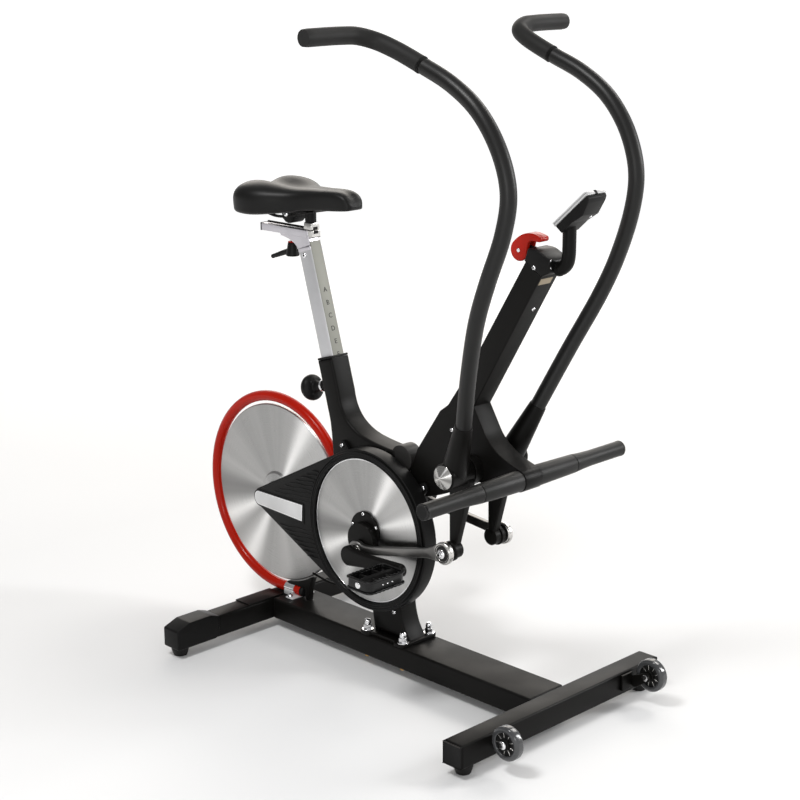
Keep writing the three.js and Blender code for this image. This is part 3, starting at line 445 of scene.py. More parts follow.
def spline_points(points, steps=10):
    """A centripetal Catmull-Rom curve through the points."""
    points = [Vector(p) for p in points]
    points = [2 * points[0] - points[1]] + points + [2 * points[-1] - points[-2]]
    out = []
    for p0, p1, p2, p3 in zip(points, points[1:], points[2:], points[3:]):
        t0 = 0.0
        t1 = t0 + (p1 - p0).length ** 0.5
        t2 = t1 + (p2 - p1).length ** 0.5
        t3 = t2 + (p3 - p2).length ** 0.5
        for k in range(steps):
            t = t1 + (t2 - t1) * k / steps
            a1 = p0 * ((t1 - t) / (t1 - t0)) + p1 * ((t - t0) / (t1 - t0))
            a2 = p1 * ((t2 - t) / (t2 - t1)) + p2 * ((t - t1) / (t2 - t1))
            a3 = p2 * ((t3 - t) / (t3 - t2)) + p3 * ((t - t2) / (t3 - t2))
            b1 = a1 * ((t2 - t) / (t2 - t0)) + a2 * ((t - t0) / (t2 - t0))
            b2 = a2 * ((t3 - t) / (t3 - t1)) + a3 * ((t - t1) / (t3 - t1))
            out.append(b1 * ((t2 - t) / (t2 - t1)) + b2 * ((t - t1) / (t2 - t1)))
    return out + [points[-2]]


def seat_place():
    """From the seat tube's own axes (front, left, up its length) to the bike's."""
    return placed(SEAT, SEAT_FRONT, SEAT_UP)


# ---- floor frame ----
def floor_frame():
    slab("beam", (-325.5, -52, 22), (464.5, 52, 72), POWDER, "frame", 5, replaces=["base_beam"])
    slab("front_bar_tube", (464, -302, 22), (514, 302, 72), POWDER, "frame", 5, replaces=["front_bar"])
    for hand, side in HANDS:  # the corner furthest out comes last, which flares the right plug's rim
        slab(f"front_plug_{hand}", (466.5, side * 299, 24.5), (511.5, side * 304.5, 69.5), PLASTIC, "frame",
             1.5)
    slab("rear_bar_tube", (-375, -300, 22), (-325, 300, 72), POWDER, "frame", 5, replaces=["rear_bar"])
    cap = [(-330, 22, 5), (-330, 67, 4), (-294, 80, 3), (-233, 80, 4), (-211, 73, 1), (-211, 26, 1),
           (-224, 22, 2)]
    turn = Matrix.Rotation(math.pi / 2, 4, "Z")
    for hand, side in HANDS:
        slab(f"rear_pad_{hand}", *box((-375, side * 20, 70), (-326, side * 123, 74.5)), POWDER, "frame", 1.2)
        outline = [(-side * y, z) for y, z in eased(cap, 2, 5)]
        plate(f"rear_end_{hand}", outline, 324, 376, PLASTIC, "frame", 3, replaces=[f"rear_cap_{hand}"],
              warp=lambda co: turn @ co)

    pad = [(0, 0), (14.5, 0), (15.5, 2), (19.5, 14), (19.5, 19), (17, 21.5), (0, 21.5)]
    for end, x, y in (("front", 489, 272), ("rear", -353, 303)):
        for hand, side in HANDS:
            at = (x, side * y, 0)
            lathe(f"foot_{end}_pad_{hand}", pad, at, UP, RUBBER, "frame", 48, 1.5,
                  replaces=[f"foot_{end}_{hand}"])
            lathe(f"foot_{end}_stem_{hand}", bar(12, 20, 23), at, UP, POWDER, "frame", 6, 0.8)


def transport_wheels():
    spokes = 9
    tread = [(23, 213), (29, 212), (34.8, 215), (34.8, 231), (29, 234), (23, 233), (24, 229), (24, 217)]
    hub = [(5.4, 211.5), (11.5, 211.5), (12.5, 216), (12.5, 230), (11.5, 235), (5.4, 235)]
    bolt = [(0, 208), (5, 208), (5, 236), (8.5, 236), (8.5, 239), (6, 241.5), (0, 241.5)]
    for hand, side in HANDS:
        body = f"wheel_{hand}"
        spun(f"tyre_{hand}", tread, WHEEL, side, SMOKE, body, ease=3.2, replaces=[f"transport_wheel_{hand}"])
        spun(f"wheel_disc_{hand}", sleeve(5.4, 26, 217, 229), WHEEL, side, INK_AND_PAINTED_SHADE, body, ease=1)
        spun(f"wheel_hub_{hand}", hub, WHEEL, side, PLASTIC, body, ease=1)
        centre = Matrix.Translation((WHEEL[0], side * 223, WHEEL[1]))
        for k in range(spokes):
            spin = centre @ Matrix.Rotation(2 * math.pi * k / spokes + 0.3, 4, "Y")
            slab(f"wheel_spoke_{k}_{hand}", (10, -7.5, -0.8), (24.5, 7.5, 0.8), STEEL, body, 0.5, spin)
        spun(f"wheel_bolt_{hand}", bolt, WHEEL, side, CHROME, "frame", sides=32, ease=1)
        outline = capsule(WHEEL, 9, (527, 50), 12.5)
        plate(f"wheel_plate_{hand}", outline, side * 205, side * 210, POWDER, "frame", 1,
              replaces=[f"wheel_bracket_{hand}"])
        spun(f"wheel_nut_{hand}", bar(7.5, 198, 205.2), WHEEL, side, CHROME, "frame", sides=6, ease=0.8)
        slab(f"wheel_foot_{hand}", *box((514, side * 176, 34), (520, side * 210, 68)), POWDER, "frame", 1)


# ---- main frame ----
def seat_edge(side, along):
    """A point on the front (1) or back (-1) edge of the casting's seat tube."""
    at = SEAT + SEAT_FRONT * side * 23 + SEAT_UP * along
    return at.x, at.z


def main_frame():
    # round the casting from the mouth of the seat tube: front of the spine, foot, and back
    top, low = seat_edge(1, 0), seat_edge(1, -78)
    outline = [seat_edge(-1, 0), top, low]
    outline += curve(low, (-110, 522), (-22, 508)) + [(-22, 508)] + curve((-22, 508), (14, 502), (52, 500), 6)
    outline += [(52, 500), (57, 440), (68, 300), (65, 158)] + curve((65, 158), (68, 110), (95, 80.3), 8)
    outline += [(95, 80.3), (-14, 80.3)] + curve((-14, 80.3), (-18, 110), (-22, 130), 4)
    outline += [(-22, 130), (-96, 142)]
    outline += curve((-96, 142), (-120, 146), (-126, 165), 6) + [(-126, 165), (-134, 300)]
    outline += curve((-134, 300), (-140, 480), (-150, 530)) + [(-150, 530), seat_edge(-1, -78)]
    plate("frame_casting", outline, -27, 27, POWDER, "frame", 6, replaces=["main_frame"])
    lathe("frame_lug", bar(30, -12, 24), (70, 0, 486), -LEFT, CAP_GREY, "frame", 64, 1.5)
    spun("crank_shell", sleeve(23, 34, -60, 32), CRANK, -1, POWDER, "frame", ease=1.5)
    fork = capsule((-60, 318), 34, FLYWHEEL, 24)
    for hand, side in HANDS:
        plate(f"wheel_fork_{hand}", fork, side * 26, side * 33, POWDER, "frame", 1.5)
    place = seat_place()
    back = place @ Vector((-22, 0, PIN_Z))
    lathe("pin_barrel", sleeve(7, 12, 0, 23), back, -SEAT_FRONT, POWDER, "frame", 40, 1)
    slab("tube_collar", (-22.6, -25.6, 0.3), (22.6, 25.6, 5.5), PLASTIC, "frame", 1.6, place,
         replaces=["seat_collar"])
    for name, x, z in (("upper", -100.4, 483.1), ("front", 146.9, 441.6)):
        inward = (Vector(CRANK) - Vector((x, z))).normalized() * 30
        ear = capsule((x, z), 10.5, (x + inward.x, z + inward.y), 16)
        plate(f"guard_ear_{name}", ear, -35.5, -27.5, PLASTIC, "frame", 1.2)
        screw(f"guard_screw_{name}", (x, -35.5, z), -LEFT, 5, "frame")
    screw("guard_screw_lower", (49.4, -27, 135.5), -LEFT, 5, "frame")

    flange = [(-33, -54, 12), (-33, 54, 12), (-4, 54, 8), (0, 44, 8), (70, 44, 8), (74, 54, 8), (103, 54, 12),
              (103, -54, 12), (74, -54, 8), (70, -44, 8), (0, -44, 8), (-4, -54, 8)]
    plate("post_flange", eased([(x, -y, r) for x, y, r in flange], 6, 6), 72, 80, POWDER, "frame", 1.2,
          replaces=["base_plate"], warp=lambda co: Vector((co.x, -co.z, co.y)))
    for i, (x, y) in enumerate(((-20, -40), (-20, 40), (90, -40), (90, 40))):
        acorn_nut(f"post_nut_{i}", (x, y, 80), "frame")
        bolt_end = [(0, 0), (6.5, 0), (6.5, 4), (4.5, 5.5), (0, 5.5)]
        lathe(f"post_bolt_end_{i}", bolt_end, (x, y, 22.3), -UP, BRASS, "frame", 24, 0.8)


# ---- tower, bracket and pegs ----
def tower_and_bracket():
    pins = arc(PEG[0], PEG[1], 23, -90, 75)
    outline = [(246, 684), (208, 631), (186, 615), (120, 519), (104, 480), (104, 420), (113, 416)]
    outline += curve((113, 416), (180, 420), (286, 484.5)) + [(286, 484.5), (385, 494)] + pins
    outline += curve(pins[-1], (330, 553), (306, 598)) + [(306, 598), (280, 641)]
    plate("bracket_plates", outline, -25.5, 25.5, POWDER, "frame", 1.6, replaces=["front_bracket"])
    link = [(98, 478), (140, 500), (140, 430), (62, 424), (68, 444), (92, 458)]
    plate("bracket_link", link, -20, 20, POWDER, "frame", 1.5)
    spun("handle_boss", sleeve(12.1, 29, -46, 46), PIVOT, -1, POWDER, "frame", ease=1.2)
    screw_pair("side_screw", 220, 25.5, 580.7, 4.5, "frame")

    tower = [(246.5, 684.8), (281, 642), (453, 929.6), (412, 953.4)]
    plate("tower", tower, -26, 26, POWDER, "frame", 3, replaces=["tower_post"])
    up = Vector((172, 0, 287.6)).normalized()
    out = Vector((up.z, 0, -up.x))
    place = placed((281, 0, 642), out, up)
    slab("tower_label", (-0.4, -22, 314), (0.5, 13, 329), LABEL, "frame", 0.3, place)
    screw("tower_screw", place @ Vector((0, 3, 250)), out, 4.5, "frame")
    cap = [(0, 112.8), (24, 112.8), (25, 114), (4, 123.5), (0, 124)]
    for hand, side in HANDS:
        spun(f"pivot_cap_{hand}", cap, PIVOT, side, CAP_METAL, "frame", ease=0.6,
             replaces=["pivot_shaft"] if side < 0 else ())
    spun("pivot_rod", bar(12, -113, 113), PIVOT, -1, STEEL, "frame", ease=0.5)


def pegs():
    half = [(0, 289), (13, 289), (13, 138.5), (19.4, 138.2), (21.6, 26), (18.7, 25.8)]
    tube_line = [(r, -y) for r, y in half] + half[::-1]
    spun("peg_tube", tube_line, PEG, -1, PEG_COAT, "frame", ease=1.2, replaces=["peg_bar"])
    grip = [(0, 293.5), (11, 293.5), (12, 295), (15.2, 294.6), (16.8, 292), (16.2, 288), (16.2, 196),
            (17.4, 166), (19.4, 139), (13.2, 138.6), (13.2, 288), (0, 288)]
    plug = [(0, 293), (13, 293), (13, 294.6), (4, 294), (0, 294)]
    rim = [(13.6, 293), (16, 293), (16.6, 293.6), (15.6, 295.2), (13.6, 295.2)]
    for hand, side in HANDS:
        spun(f"peg_sleeve_{hand}", grip, PEG, side, PEG_COAT, "frame", ease=1.6,
             replaces=[f"peg_grip_{hand}"])
        spun(f"peg_plug_{hand}", plug, PEG, side, INK_AND_PAINTED_SHADE, "frame", ease=0.3)
        spun(f"peg_rim_{hand}", rim, PEG, side, GLOSS, "frame", ease=0.3)


# ---- belt guard ----
def on_guard_face(co):
    """Past the drum the guard's face leans in towards its tip."""
    lean = max(0.0, GUARD["lean_from"] - co.x) * GUARD["slope"]
    depth = min(1.0, max(0.0, (-co.y - GUARD["back"]) / (GUARD["face"] - GUARD["back"])))
    return Vector((co.x, co.y + lean * depth, co.z))


def belt_guard():
    tip, r, tip_r, open_r = GUARD["tip"], GUARD["r"], GUARD["tip_r"], GUARD["open_r"]
    plate("guard_shell", capsule(CRANK, r, tip, tip_r, 72), -71.5, -36.5, PLASTIC, "frame", 2,
          holes=[circle(*CRANK, open_r + 2, 120)], replaces=["belt_guard"], warp=on_guard_face)
    plate("guard_face", capsule(CRANK, r - 6, tip, tip_r - 4, 72), -76, -70, PLASTIC, "frame", 2,
          holes=[circle(*CRANK, open_r, 120)], warp=on_guard_face)
    lip = [(159.6, 72), (162, 72), (163.5, 76.6), (162, 77.4), (160, 76.4)]
    spun("guard_lip", lip, CRANK, -1, PLASTIC, "frame", sides=160, ease=0.6)
    for i, edge in enumerate((166.8, 172)):
        step = [(edge - 1.6, 75), (edge - 0.6, 76.9), (edge + 0.6, 76.9), (edge + 1.6, 75)]
        spun(f"guard_step_{i}", step, CRANK, -1, PLASTIC, "frame", sides=160, ease=0.4)

    # wavy ribs fill the face between the drum and the name plate's surround
    rib_pitch, rib_middle, steps = 9.5, 316, 60
    for i in range(22):
        z = 224 + rib_pitch * i
        left = tip[0] - 30 + 2.12 * abs(z - rib_middle)
        right = CRANK[0] - math.sqrt(173 ** 2 - (z - CRANK[1]) ** 2) - 4
        if 288 < z < 346 or right - left < 20:
            continue
        points = []
        for k in range(steps + 1):
            x = left + (right - left) * k / steps
            height = z + 0.13 * (x - right) + math.sin(x / 10 + 1.7 * i)
            if abs(height - rib_middle) < 15 + 0.46 * (x - tip[0]):
                points.append(on_guard_face(Vector((x, -75.2, height))))
        tube(f"guard_rib_{i}", points, 1.6, PLASTIC, "frame", 10, True)
    plate("guard_rear_plate", capsule(CRANK, r - 5, tip, tip_r - 4, 60), -36.5, -33.5, PLASTIC, "frame", 0.8,
          replaces=["guard_back"])

    surround = arc(*tip, 20, 90, 270) + eased([(-186, 291), (-186, 338)], 4, closed=False)
    rim = arc(*tip, 16.2, 90, 270) + [(-192.5, 296.5), (-190, 335)]
    badge = arc(*tip, 14.4, 90, 270) + [(-195, 298.4), (-193, 332.8)]
    plate("plate_surround", surround, -78, -73, PLASTIC, "frame", 1.4, warp=on_guard_face)
    plate("plate_rim", rim, -79, -77, CHROME, "frame", 0.7, warp=on_guard_face)
    plate("plate_face", badge, -79.5, -78, PLATE, "frame", 0.7, warp=on_guard_face, replaces=["nameplate"])


# ---- drive ----
def pin_at():
    """Where the right crank's rod turns: square to the line from the crank's centre to the handle's lever."""
    along = math.atan2(LEVER_END[1] - CRANK[1], LEVER_END[0] - CRANK[0])
    offset = ROD["pin_offset"]
    return CRANK[0] + offset * math.sin(along), CRANK[1] - offset * math.cos(along)


def opposite(point):
    """A point half a turn round the crank."""
    return 2 * CRANK[0] - point[0], 2 * CRANK[1] - point[1]


def drive():
    disc = [(10.3, 70), (157, 70), (158, 69), (158, 41), (153, 41), (153, 66), (20, 66), (20, 36), (10.3, 36)]
    edge = [(155.5, 70), (158.2, 70), (158.2, 70.8), (156, 70.9)]
    spun("drive_disc", disc, CRANK, -1, DISC_METAL, "crank", sides=160, ease=0.8, replaces=["drive_pulley"])
    spun("disc_edge", edge, CRANK, -1, CHROME, "crank", sides=160, ease=0.2)
    for hand, side in HANDS:
        crank_side(hand, side)


def crank_side(hand, side):
    """One side's flange, off-centre drum, arm, pedal and rod; the left side is half a turn on."""
    crank_pin, pedal, flip = (pin_at(), PEDAL, 1) if side < 0 else (opposite(pin_at()), opposite(PEDAL), -1)
    middle = ((CRANK[0] + crank_pin[0]) / 2, (CRANK[1] + crank_pin[1]) / 2)
    spun(f"hub_flange_{hand}", bar(43, 70.2, 75), CRANK, side, POWDER, "crank", ease=0.8,
         replaces=[f"eccentric_hub_{hand}"])
    spun(f"hub_drum_{hand}", bar(39.5, 74, 89.8), middle, side, POWDER, "crank", ease=1.6)
    spun(f"crank_post_{hand}", bar(8, 88, 112), crank_pin, side, STEEL, "crank", ease=0.5)
    for i, (x, z) in enumerate(arc(0, 0, 38 * flip, 96, 96 + 288, 4)):
        screw(f"flange_screw_{i}_{hand}", (CRANK[0] + x, side * 75, CRANK[1] + z), side * LEFT, 4.4, "crank")

    head = Vector((crank_pin[0] - 4 * flip, crank_pin[1] - 8 * flip))
    run = Vector(pedal) - head
    along = math.atan2(run.y, run.x)
    arm = arc(0, 0, 22, 264, 58) + curve((11.7, 18.7), (28, 14), (66, 13.2)) + [(66, 13.2)]
    arm += arc(run.length, 0, 14, 90, -90) + [(60, -15)]
    turn = Matrix.Rotation(along, 2)
    arm = [tuple(head + turn @ Vector(point)) for point in arm]
    plate(f"crank_bar_{hand}", arm, side * 110, side * 126, POWDER, "crank", 4,
          replaces=[f"crank_arm_{hand}"])
    spun(f"crank_axle_{hand}", bar(6, 124, 231), pedal, side, STEEL, "crank", ease=0.8)
    pedal_piece(hand, side, pedal)
    rod(hand, side, crank_pin)


def pedal_piece(hand, side, at):
    """A cage pedal: barrel, a frame with a row of teeth along both edges, and a bolt cover at its end."""
    body = f"pedal_{hand}"
    x, z = at
    outer = [(-36, -54, 10), (36, -54, 16), (36, 54, 16), (-36, 54, 10)]
    inner = [(-30, -47, 7), (30, -47, 10), (30, 47, 10), (-30, 47, 7)]
    middle = side * 186
    for i, (low, high, shrink) in enumerate(((9.5, 13.5, 0), (-13.5, -9.5, 0), (-9.5, 9.5, 2.5))):
        rim = eased([(a * (1 - shrink / 36), b * (1 - shrink / 54), r) for a, b, r in outer], 8, 8)
        plate(f"pedal_cage_{i}_{hand}", rim, low, high, GLOSS, body, 1.2, holes=[eased(inner, 8, 8)],
              replaces=[f"pedal_{hand}"] if i == 0 else (),
              warp=lambda co: Vector((co.x + x, co.z + middle, co.y + z)))
    barrel = [(6.6, 134), (10.5, 134), (11.5, 160), (11.5, 212), (10.5, 232), (6.6, 232)]
    cover = [(0, 233), (7.4, 233), (7.4, 238.5), (5.8, 239.8), (0, 239.8)]
    spun(f"pedal_barrel_{hand}", barrel, at, side, PLASTIC, body, sides=40, ease=1.5)
    spun(f"pedal_cover_{hand}", cover, at, side, CHROME, body, sides=32, ease=1)
    spun(f"pedal_cone_{hand}", bar(8.5, 127, 131), at, side, STEEL, body, sides=6, ease=0.5)
    for dy in (-18, 18):
        y = middle + dy
        slab(f"pedal_rib_{dy + 18}_{hand}", (x - 30, y - 3, z - 8), (x + 30, y + 3, z + 8), PLASTIC, body, 1)
    for edge in (-1, 1):
        tooth_x = x + edge * 32
        for k in range(9):
            y = middle - 44 + 11 * k
            if (y - middle) ** 2 > 1750:
                continue
            for face in (-1, 1):
                tooth = box((tooth_x - 3, y - 3, z + face * 12), (tooth_x + 3, y + 3, z + face * 14.6))
                slab(f"pedal_tooth_{edge + 1}{face + 1}{k}_{hand}", *tooth, GLOSS, body, 0.8)
        for k in (-1, 0, 1):
            lathe(f"pedal_stud_{edge + 1}{k + 1}_{hand}", [(0, 0), (2.2, 0), (1.4, 1.2), (0, 1.4)],
                  (x + edge * 33.3, middle + 13 * k, z), (edge, 0, 0), CHROME, body, 16, 0.3)


def rod(hand, side, crank_pin):
    """Forged rod with a ringed bearing at the handle's lever and a wide eye at the crank."""
    body = f"rod_{hand}"
    cx, cz = crank_pin
    lx, lz = LEVER_END
    run = math.hypot(lx - cx, lz - cz)
    turn = math.atan2(lz - cz, lx - cx)

    def lay(co):
        lean = ROD["crank_y"] + (ROD["lever_y"] - ROD["crank_y"]) * min(1.0, max(0.0, co.x / run))
        return Vector((cx + co.x * math.cos(turn) - co.z * math.sin(turn), side * lean + co.y,
                       cz + co.x * math.sin(turn) + co.z * math.cos(turn)))

    neck = run - 22
    upper = arc(0, 0, 22, 180, 52, 20) + curve((14, 17), (22, 10), (44, 9)) + [(44, 9), (neck - 30, 10)]
    upper += curve((neck - 30, 10), (neck - 12, 11), (neck + 4, 17)) + [(neck + 4, 17)]
    lower = [(x, -z) for x, z in reversed(upper[1:])]
    plate(f"rod_shank_{hand}", upper + lower, -6.4, 6.4, FORGED, body, 2.4, holes=[circle(0, 0, 12, 40)],
          replaces=[f"conn_rod_{hand}"], warp=lay)
    ring = [(16.2, 82.3), (21.5, 82.3), (24, 85), (24, 93), (21.5, 95.7), (16.2, 95.7)]
    spun(f"rod_ring_{hand}", ring, LEVER_END, side, STEEL, body, ease=1.2)
    spun(f"rod_bearing_{hand}", sleeve(8.6, 14.5, 92, 106.4), crank_pin, side, STEEL, body, ease=0.8)


# ---- handles ----
HANDLE_PATH = [
    (333, 110, 628), (381, 148, 749), (432, 181, 866), (464, 189, 940), (499, 186, 1034),
    (510, 184, 1099), (503, 184, 1146), (477, 185, 1203), (432, 185, 1256), (369, 184, 1296),
    (291, 183, 1327), (222, 189, 1354), (188, 204, 1368), (172, 234, 1377), (168, 270, 1379),
    (168, 364, 1379),
]
GRIP_START = 10


def grip_radius(t):
    """The grip's radius along its length, with a raised ring at each end and a rounded tip."""
    return 17.0 + (0.5 if t < 0.02 or t > 0.985 else 0) - (1.6 if t > 0.995 else 0)


def handles():
    steps = 10
    split = GRIP_START * steps
    plug = [(0, -1.2), (12, -1.2), (12, -0.1), (5, -0.1), (4, -0.9), (0, -0.9)]
    lever = capsule((PIVOT[0], PIVOT[1] - 20), 28, (LEVER_END[0] + 2, LEVER_END[1] + 15), 9, 40)
    barrel = [(12.6, 48), (27.4, 48), (27.6, 50), (27.6, 110), (26.4, 112), (12.6, 112)]
    bolt = [(0, 96), (10, 96), (10, 99), (6.5, 101.5), (3, 101.5), (2.5, 100.5), (0, 100.5)]
    lever_pieces = (
        ("boss", [(0, 49), (17, 49), (18, 50), (18, 66), (17, 67), (0, 67)], POWDER, 64, 0.8),
        ("spacer", [(0, 66), (21, 66), (21, 74), (17, 76), (17, 81.6), (0, 81.6)], POWDER, 64, 1),
        ("seal", [(0, 81), (15.8, 81), (15.8, 95), (13, 96.3), (0, 96.3)], RUBBER, 64, 0.8),
        ("bolt", bolt, CHROME, 40, 0.8),
        ("bolt_head", [(0, 100), (5.5, 100), (5.5, 104.5), (4, 105.6), (0, 105.6)], CHROME, 6, 0.5),
    )
    for hand, side in HANDS:
        body = f"handle_{hand}"
        dense = spline_points([(x, side * y, z) for x, y, z in HANDLE_PATH], steps)
        tube(f"handle_bar_{hand}", dense[:split], 16, SATIN, body, replaces=[f"handle_tube_{hand}"])
        tube(f"grip_{hand}", dense[split:], grip_radius, RUBBER, body, 48, replaces=[f"hand_grip_{hand}"])
        lathe(f"grip_plug_{hand}", plug, dense[-1], side * LEFT, INK_AND_PAINTED_SHADE, body, 40, 0.3)

        foot = Vector((PIVOT[0], side * 81, PIVOT[1]))
        rise = dense[0] - foot
        top = rise.length
        cone = [(0, 0), (27.6, 0), (26, 30), (18.2, top - 4), (17.6, top + 1), (16.2, top + 1.5), (0, top)]
        lathe(f"handle_cone_{hand}", cone, foot, rise, POWDER, body, 64, 2, replaces=[f"handle_hub_{hand}"])
        spun(f"handle_barrel_{hand}", barrel, PIVOT, side, POWDER, body, ease=1.5)
        plate(f"handle_lever_{hand}", lever, side * 49, side * 67, POWDER, body, 3)
        for name, profile, mat, sides, ease in lever_pieces:
            spun(f"lever_{name}_{hand}", profile, LEVER_END, side, mat, body, sides=sides, ease=ease)


# ---- flywheel ----
def flywheel_group():
    half = [(10.3, 22), (26, 22), (28, 12), (46, 9.5), (50, 5), (206.5, 5), (208.5, 3)]
    disc = [(r, -y) for r, y in half] + half[::-1]
    axle = [(0, -44), (9, -44), (10, -43), (10, 54.4), (0, 54.4)]
    spun("flywheel_disc", disc, FLYWHEEL, -1, WHEEL_METAL, "flywheel", sides=192, ease=1,
         replaces=["flywheel"])
    spun("wheel_axle", axle, FLYWHEEL, -1, STEEL, "flywheel", ease=0.5, replaces=["flywheel_axle"])
    spun("wheel_axle_nut", bar(12.5, -41, -34), FLYWHEEL, -1, CHROME, "flywheel", sides=6, ease=0.8)

    hoop()
    outline = arc(*FLYWHEEL, 222, -38, -27, 10) + arc(*FLYWHEEL, 188, -27, -38, 10)
    for hand, side in HANDS:
        plate(f"magnet_cheek_{hand}", outline, side * 7.5, side * 20, POWDER, "magnet", 1.5,
              replaces=["magnet_caliper"] if side < 0 else ())
    bridge = arc(*FLYWHEEL, 222, -38, -27, 10) + arc(*FLYWHEEL, 213, -27, -38, 10)
    plate("magnet_bridge", bridge, -19, 19, POWDER, "magnet", 1)
    plate("magnet_arm", capsule((-116, 262), 11, (-166, 200.5), 8), -7.8, 7.8, POWDER, "magnet", 1.5)


def hoop():
    """The red hoop with its straight tail, its clamp, and the wedge under the flywheel's rim."""
    r, low, high = 226.7, -88, -333  # the hoop's radius, and the angles where it starts and ends
    start = Vector(arc(*FLYWHEEL, r, low, high, 1)[0])
    along = Vector((-math.sin(math.radians(low)), math.cos(math.radians(low))))

    def on_tail(t):
        return Vector((start.x + along.x * t, 0, start.y + along.y * t))

    tail = [on_tail(66 - 6 * k) for k in range(11)]
    points = tail + [Vector((x, 0, z)) for x, z in arc(*FLYWHEEL, r, low, high, 150)]
    tube("hoop", points, 12, RED, "frame", 48, replaces=["guard_ring"])
    ahead = Vector((along.x, 0, along.y))
    ring = [(11.5, -5), (13, -4.5), (13, 0), (11.5, 0)]
    cap = [(0, -2), (12, -2), (12.4, 7), (10.5, 10), (0, 10)]
    lathe("hoop_end_ring", ring, on_tail(66), ahead, RED, "frame", 48, 0.5)
    lathe("hoop_end_cap", cap, on_tail(66), ahead, PLASTIC, "frame", 48, 1.2)
    a = math.radians(high)
    back = Vector((math.sin(a), 0, -math.cos(a)))
    lathe("hoop_top_plug", bar(11.2, -3, 0.6), points[-1], back, PLASTIC, "frame", 48, 0.5)

    band = [on_tail(16 + 4 * k) for k in range(9)]
    tube("clamp_band", band, 14, CHROME, "frame", 48, replaces=["ring_clamp"])
    slab("clamp_foot", (-328, -17, 72), (-297, 17, 86), BEZEL, "frame", 3)
    slab("clamp_plate", (-305, -31, 72), (-281, 37, 75.5), PLATE, "frame", 1)
    for name, x, y in (("near", -295, -25), ("far", -288, 31)):
        screw(f"clamp_screw_{name}", (x, y, 75.5), UP, 6, "frame", 8)

    wedge = arc(*FLYWHEEL, 211, -82, -58, 24) + [(-237, 132), (-250, 98), (-253, 73), (-261, 73), (-263, 99)]
    plate("rim_wedge", wedge + [(-324, 99)], -8, 8, POWDER, "frame", 1)
    stay = spline_points([(-231, -10, 146), (-180, -10, 140), (-150, -10, 141), (-118, -10, 152)], 8)
    tube("wedge_stay", stay, 2.6, POWDER, "frame", 16, True)


# ---- seat ----
def seat_tube_parts():
    place = seat_place()
    slab("post_tube", (-20, -17, -150), (20, 17, 247.5), ALLOY, "seat_post", 2.5, place,
         replaces=["seat_post"])
    # painted reflection: a darker olive strip on the post's front face, which carries the letter scale
    slab("post_scale_painted_reflection", (19.2, -15, -140), (20.4, 15, 257), SCALE_FACE_PAINTED_REFLECTION, "seat_post", 0.5, place)
    # painted shade: dark discs on the back of the post stand for the pop pin's holes
    hole = [(0, -0.6), (6.5, -0.6), (6.5, 0.2), (5.4, 0.25), (5.2, -0.5), (0, -0.5)]
    for i in range(6):
        at = place @ Vector((-20, 0, 100 - 27 * i))
        lathe(f"post_hole_painted_shade_{i}", hole, at, -SEAT_FRONT, INK_AND_PAINTED_SHADE, "seat_post", 32, 0.1)
    for i, letter in enumerate("ABCDEF"):
        text = bpy.data.curves.new(f"letter_{letter}", "FONT")
        text.body = letter
        text.size = 15
        text.extrude = 0.12
        text.align_x, text.align_y = "CENTER", "CENTER"
        holder = bpy.data.objects.new(f"letter_{letter}", text)
        mesh = bpy.data.meshes.new_from_object(holder)
        bpy.data.objects.remove(holder)
        mesh.transform(place @ placed((20.5, 0, 149 - 28.6 * i), LEFT, (1, 0, 0), UP))
        add(f"letter_{letter}", mesh, INK_AND_PAINTED_SHADE, "seat_post")
    screw_pair("post_screw", -232.5, 17, 882.1, 6, "seat_post", 3)

    knob = [(0, 104), (15, 104), (25, 100.5), (29.5, 92), (29, 83), (22, 76.5), (13, 73.5), (12, 68),
            (12, 48), (0, 48)]
    back = place @ Vector((0, 0, PIN_Z))
    lathe("knob", knob, back, -SEAT_FRONT, PLASTIC, "pop_pin", 64, 4, replaces=["pop_pin"])
    lathe("knob_pin", bar(5.5, 24, 50), back, -SEAT_FRONT, CHROME, "pop_pin", 32, 0.6)
    lathe("knob_ring", sleeve(12, 13.5, 46.5, 52), back, -SEAT_FRONT, CHROME, "pop_pin", 40, 0.5)
    for k in range(8):
        a = math.pi * k / 4
        at = back - SEAT_FRONT * 74.8 + SEAT_UP * 18 * math.sin(a) + LEFT * 18 * math.cos(a)
        lathe(f"knob_web_{k}", bar(2.6, -1, 0.5), at, SEAT_FRONT, INK_AND_PAINTED_SHADE, "pop_pin", 16, 0.3)


